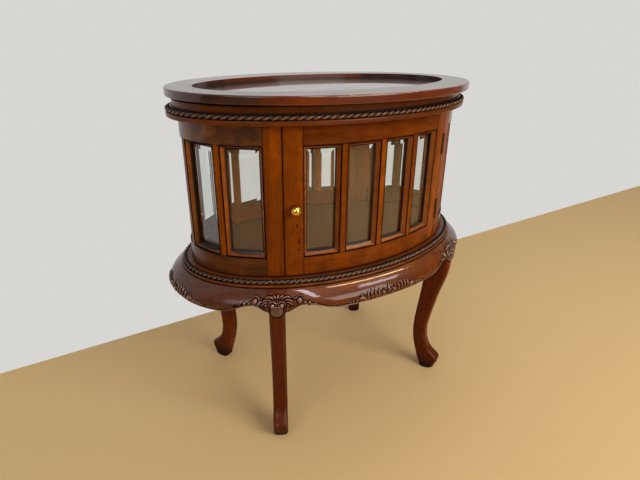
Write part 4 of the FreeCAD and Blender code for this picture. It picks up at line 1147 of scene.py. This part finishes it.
def newCarving():
    mesh = bmesh.new()
    mesh.verts.layers.float.new("paintedCarveShade")
    return mesh


def makeSpray(name, spray, degrees, shift=0.0):
    mesh, ground = newCarving(), newCarving()
    face = ApronFace(degrees, shift)
    mirrored = ApronFace(degrees, shift, -1)
    for points, widths, rise in spray["middle"]:
        carveStroke(mesh, ground, face, points, widths, rise)
    for points, widths, rise in spray["sides"]:
        steps = carver["steps"] if len(points) < 6 else carver["curlSteps"]
        for side in (face, mirrored):
            carveStroke(mesh, ground, side, points, widths, rise, steps)
    addPiece(name, mesh, carvedLitWood)
    addPiece(name + "ShadeGround", ground, blackWaxAndShade)


# The oval boss on each knee: a polished skin coloured with a painted greyish sheen, and a dark line of
# painted shade round it, laid on the leg itself.
kneeBoss = {
    "height": 0.3425,
    "halfWidth": 0.0143,
    "halfHeight": 0.0148,
    "line": 0.2,  # width of the dark line, as a share of the boss
    "proud": 0.0004,
    "rayStart": 0.04,
    "rayLength": 0.09,
    "sides": 48,
    "skinRings": 8,
    "lineRings": 3,
}


# A ring between two shares of the boss's size, pressed on to the leg.
def layOnLeg(tree, degrees, inner, outer, rings):
    angle = math.radians(degrees)
    outward = outwardAt(angle, caseLine)
    across = Vector((-outward.y, outward.x, 0))
    middle = apronPoint(angle, kneeBoss["height"])
    mesh = newCarving()
    bmesh.ops.create_grid(mesh, x_segments=kneeBoss["sides"], y_segments=rings, size=1)
    for vert in mesh.verts:
        turn = math.pi * vert.co.x
        share = inner + (outer - inner) * (vert.co.y + 1) / 2
        offset = across * (kneeBoss["halfWidth"] * share * math.cos(turn))
        offset.z = kneeBoss["halfHeight"] * share * math.sin(turn)
        start = middle + offset + outward * kneeBoss["rayStart"]
        hit = tree.ray_cast(start, -outward, kneeBoss["rayLength"])[0] or middle + offset
        vert.co = hit + outward * kneeBoss["proud"]
    bmesh.ops.remove_doubles(mesh, verts=mesh.verts, dist=joinGap)
    return mesh


def makeKneeBoss(corner, leg, degrees):
    tree = surfaceOf(leg)
    half = kneeBoss["line"] / 2
    skin = layOnLeg(tree, degrees, 0.0, 1 - half, kneeBoss["skinRings"])
    line = layOnLeg(tree, degrees, 1 - half, 1 + half, kneeBoss["lineRings"])
    addPiece("kneeBoss" + corner, skin, bossSheenWood)
    # The ring round the boss is a black skin of painted shade.
    addPiece("kneeBossShadeLine" + corner, line, blackWaxAndShade)


kneeDegrees = {"FrontLeft": -129, "FrontRight": -51, "BackRight": 51, "BackLeft": 129}
apronDegrees = {"Front": -90, "Right": 0, "Back": 90, "Left": 180}
sprayShift = {"Front": -0.0065}  # sprays that the carver set a little off the middle


def carveAprons():
    for corner, degrees in kneeDegrees.items():
        makeSpray("kneeSpray" + corner, kneeSpray, degrees)
        leg = "leg_" + corner.replace("Left", "_left").replace("Right", "_right").lower()
        makeKneeBoss(corner, leg, degrees)
    for side, degrees in apronDegrees.items():
        makeSpray("apronSpray" + side, spanSpray, degrees, sprayShift.get(side, 0.0))


carveAprons()
print("carving ready")

# A thin bead cut along each apron's lower edge, coloured light as a painted highlight, with a dark quirk of
# painted shade above it.
edgeBead = {
    "clearOfKnee": 0.019,
    "above": 0.0016,  # the bead's middle above the edge
    "quirk": 0.0044,  # the quirk's middle above the edge
    "width": 1.5,
    "rise": 2.0,
    "sides": 8,
    "quirkSides": 6,
    "points": 90,
    "rayStart": 0.003,
    "rayLength": 0.006,
    "margin": 0.004,
    "tries": 12,
}


# Height of an apron's lower edge above its toe, found on the apron itself.
def edgeHeight(tree, angle):
    outward = outwardAt(angle, caseLine)
    toe = apron["top"] - apron["depth"]
    low, high = toe - edgeBead["margin"], apron["top"] - edgeBead["margin"]
    for attempt in range(edgeBead["tries"]):
        middle = (low + high) / 2
        start = apronPoint(angle, middle) + outward * edgeBead["rayStart"]
        hit = tree.ray_cast(start, -outward, edgeBead["rayLength"])[0]
        if hit is None:
            low = middle
        else:
            high = middle
    return high - toe


def makeEdgeBead(side, degrees):
    tree = surfaceOf("apron_" + side.lower())
    face = ApronFace(degrees)
    knees = [apronLine.distance(math.radians(knee)) for knee in kneeDegrees.values()]
    half = min((knee - face.start) % apronLine.total() for knee in knees) - edgeBead["clearOfKnee"]
    count = edgeBead["points"]
    points = []
    for index in range(count + 1):
        along = half * (2 * index / count - 1)
        angle = apronLine.angle(face.start + along)
        points.append((1000 * along, 1000 * (edgeHeight(tree, angle) + edgeBead["above"])))
    width = edgeBead["width"]
    quirk = 1000 * (edgeBead["quirk"] - edgeBead["above"])
    above = [(x, y + quirk) for x, y in points]
    bead, groove = newCarving(), newCarving()
    # The quirk is a black skin of painted shade.
    carveBlank(groove, face, above, [width, width], carver["groundRise"], 2 * count, edgeBead["quirkSides"])
    carveBlank(bead, face, points, [width, width], edgeBead["rise"], 2 * count, edgeBead["sides"])
    addPiece("edgeBead" + side, bead, edgeHighlightWood)
    addPiece("edgeQuirkShade" + side, groove, blackWaxAndShade)


for apronSide, apronAngle in apronDegrees.items():
    makeEdgeBead(apronSide, apronAngle)
print("edge beads ready")
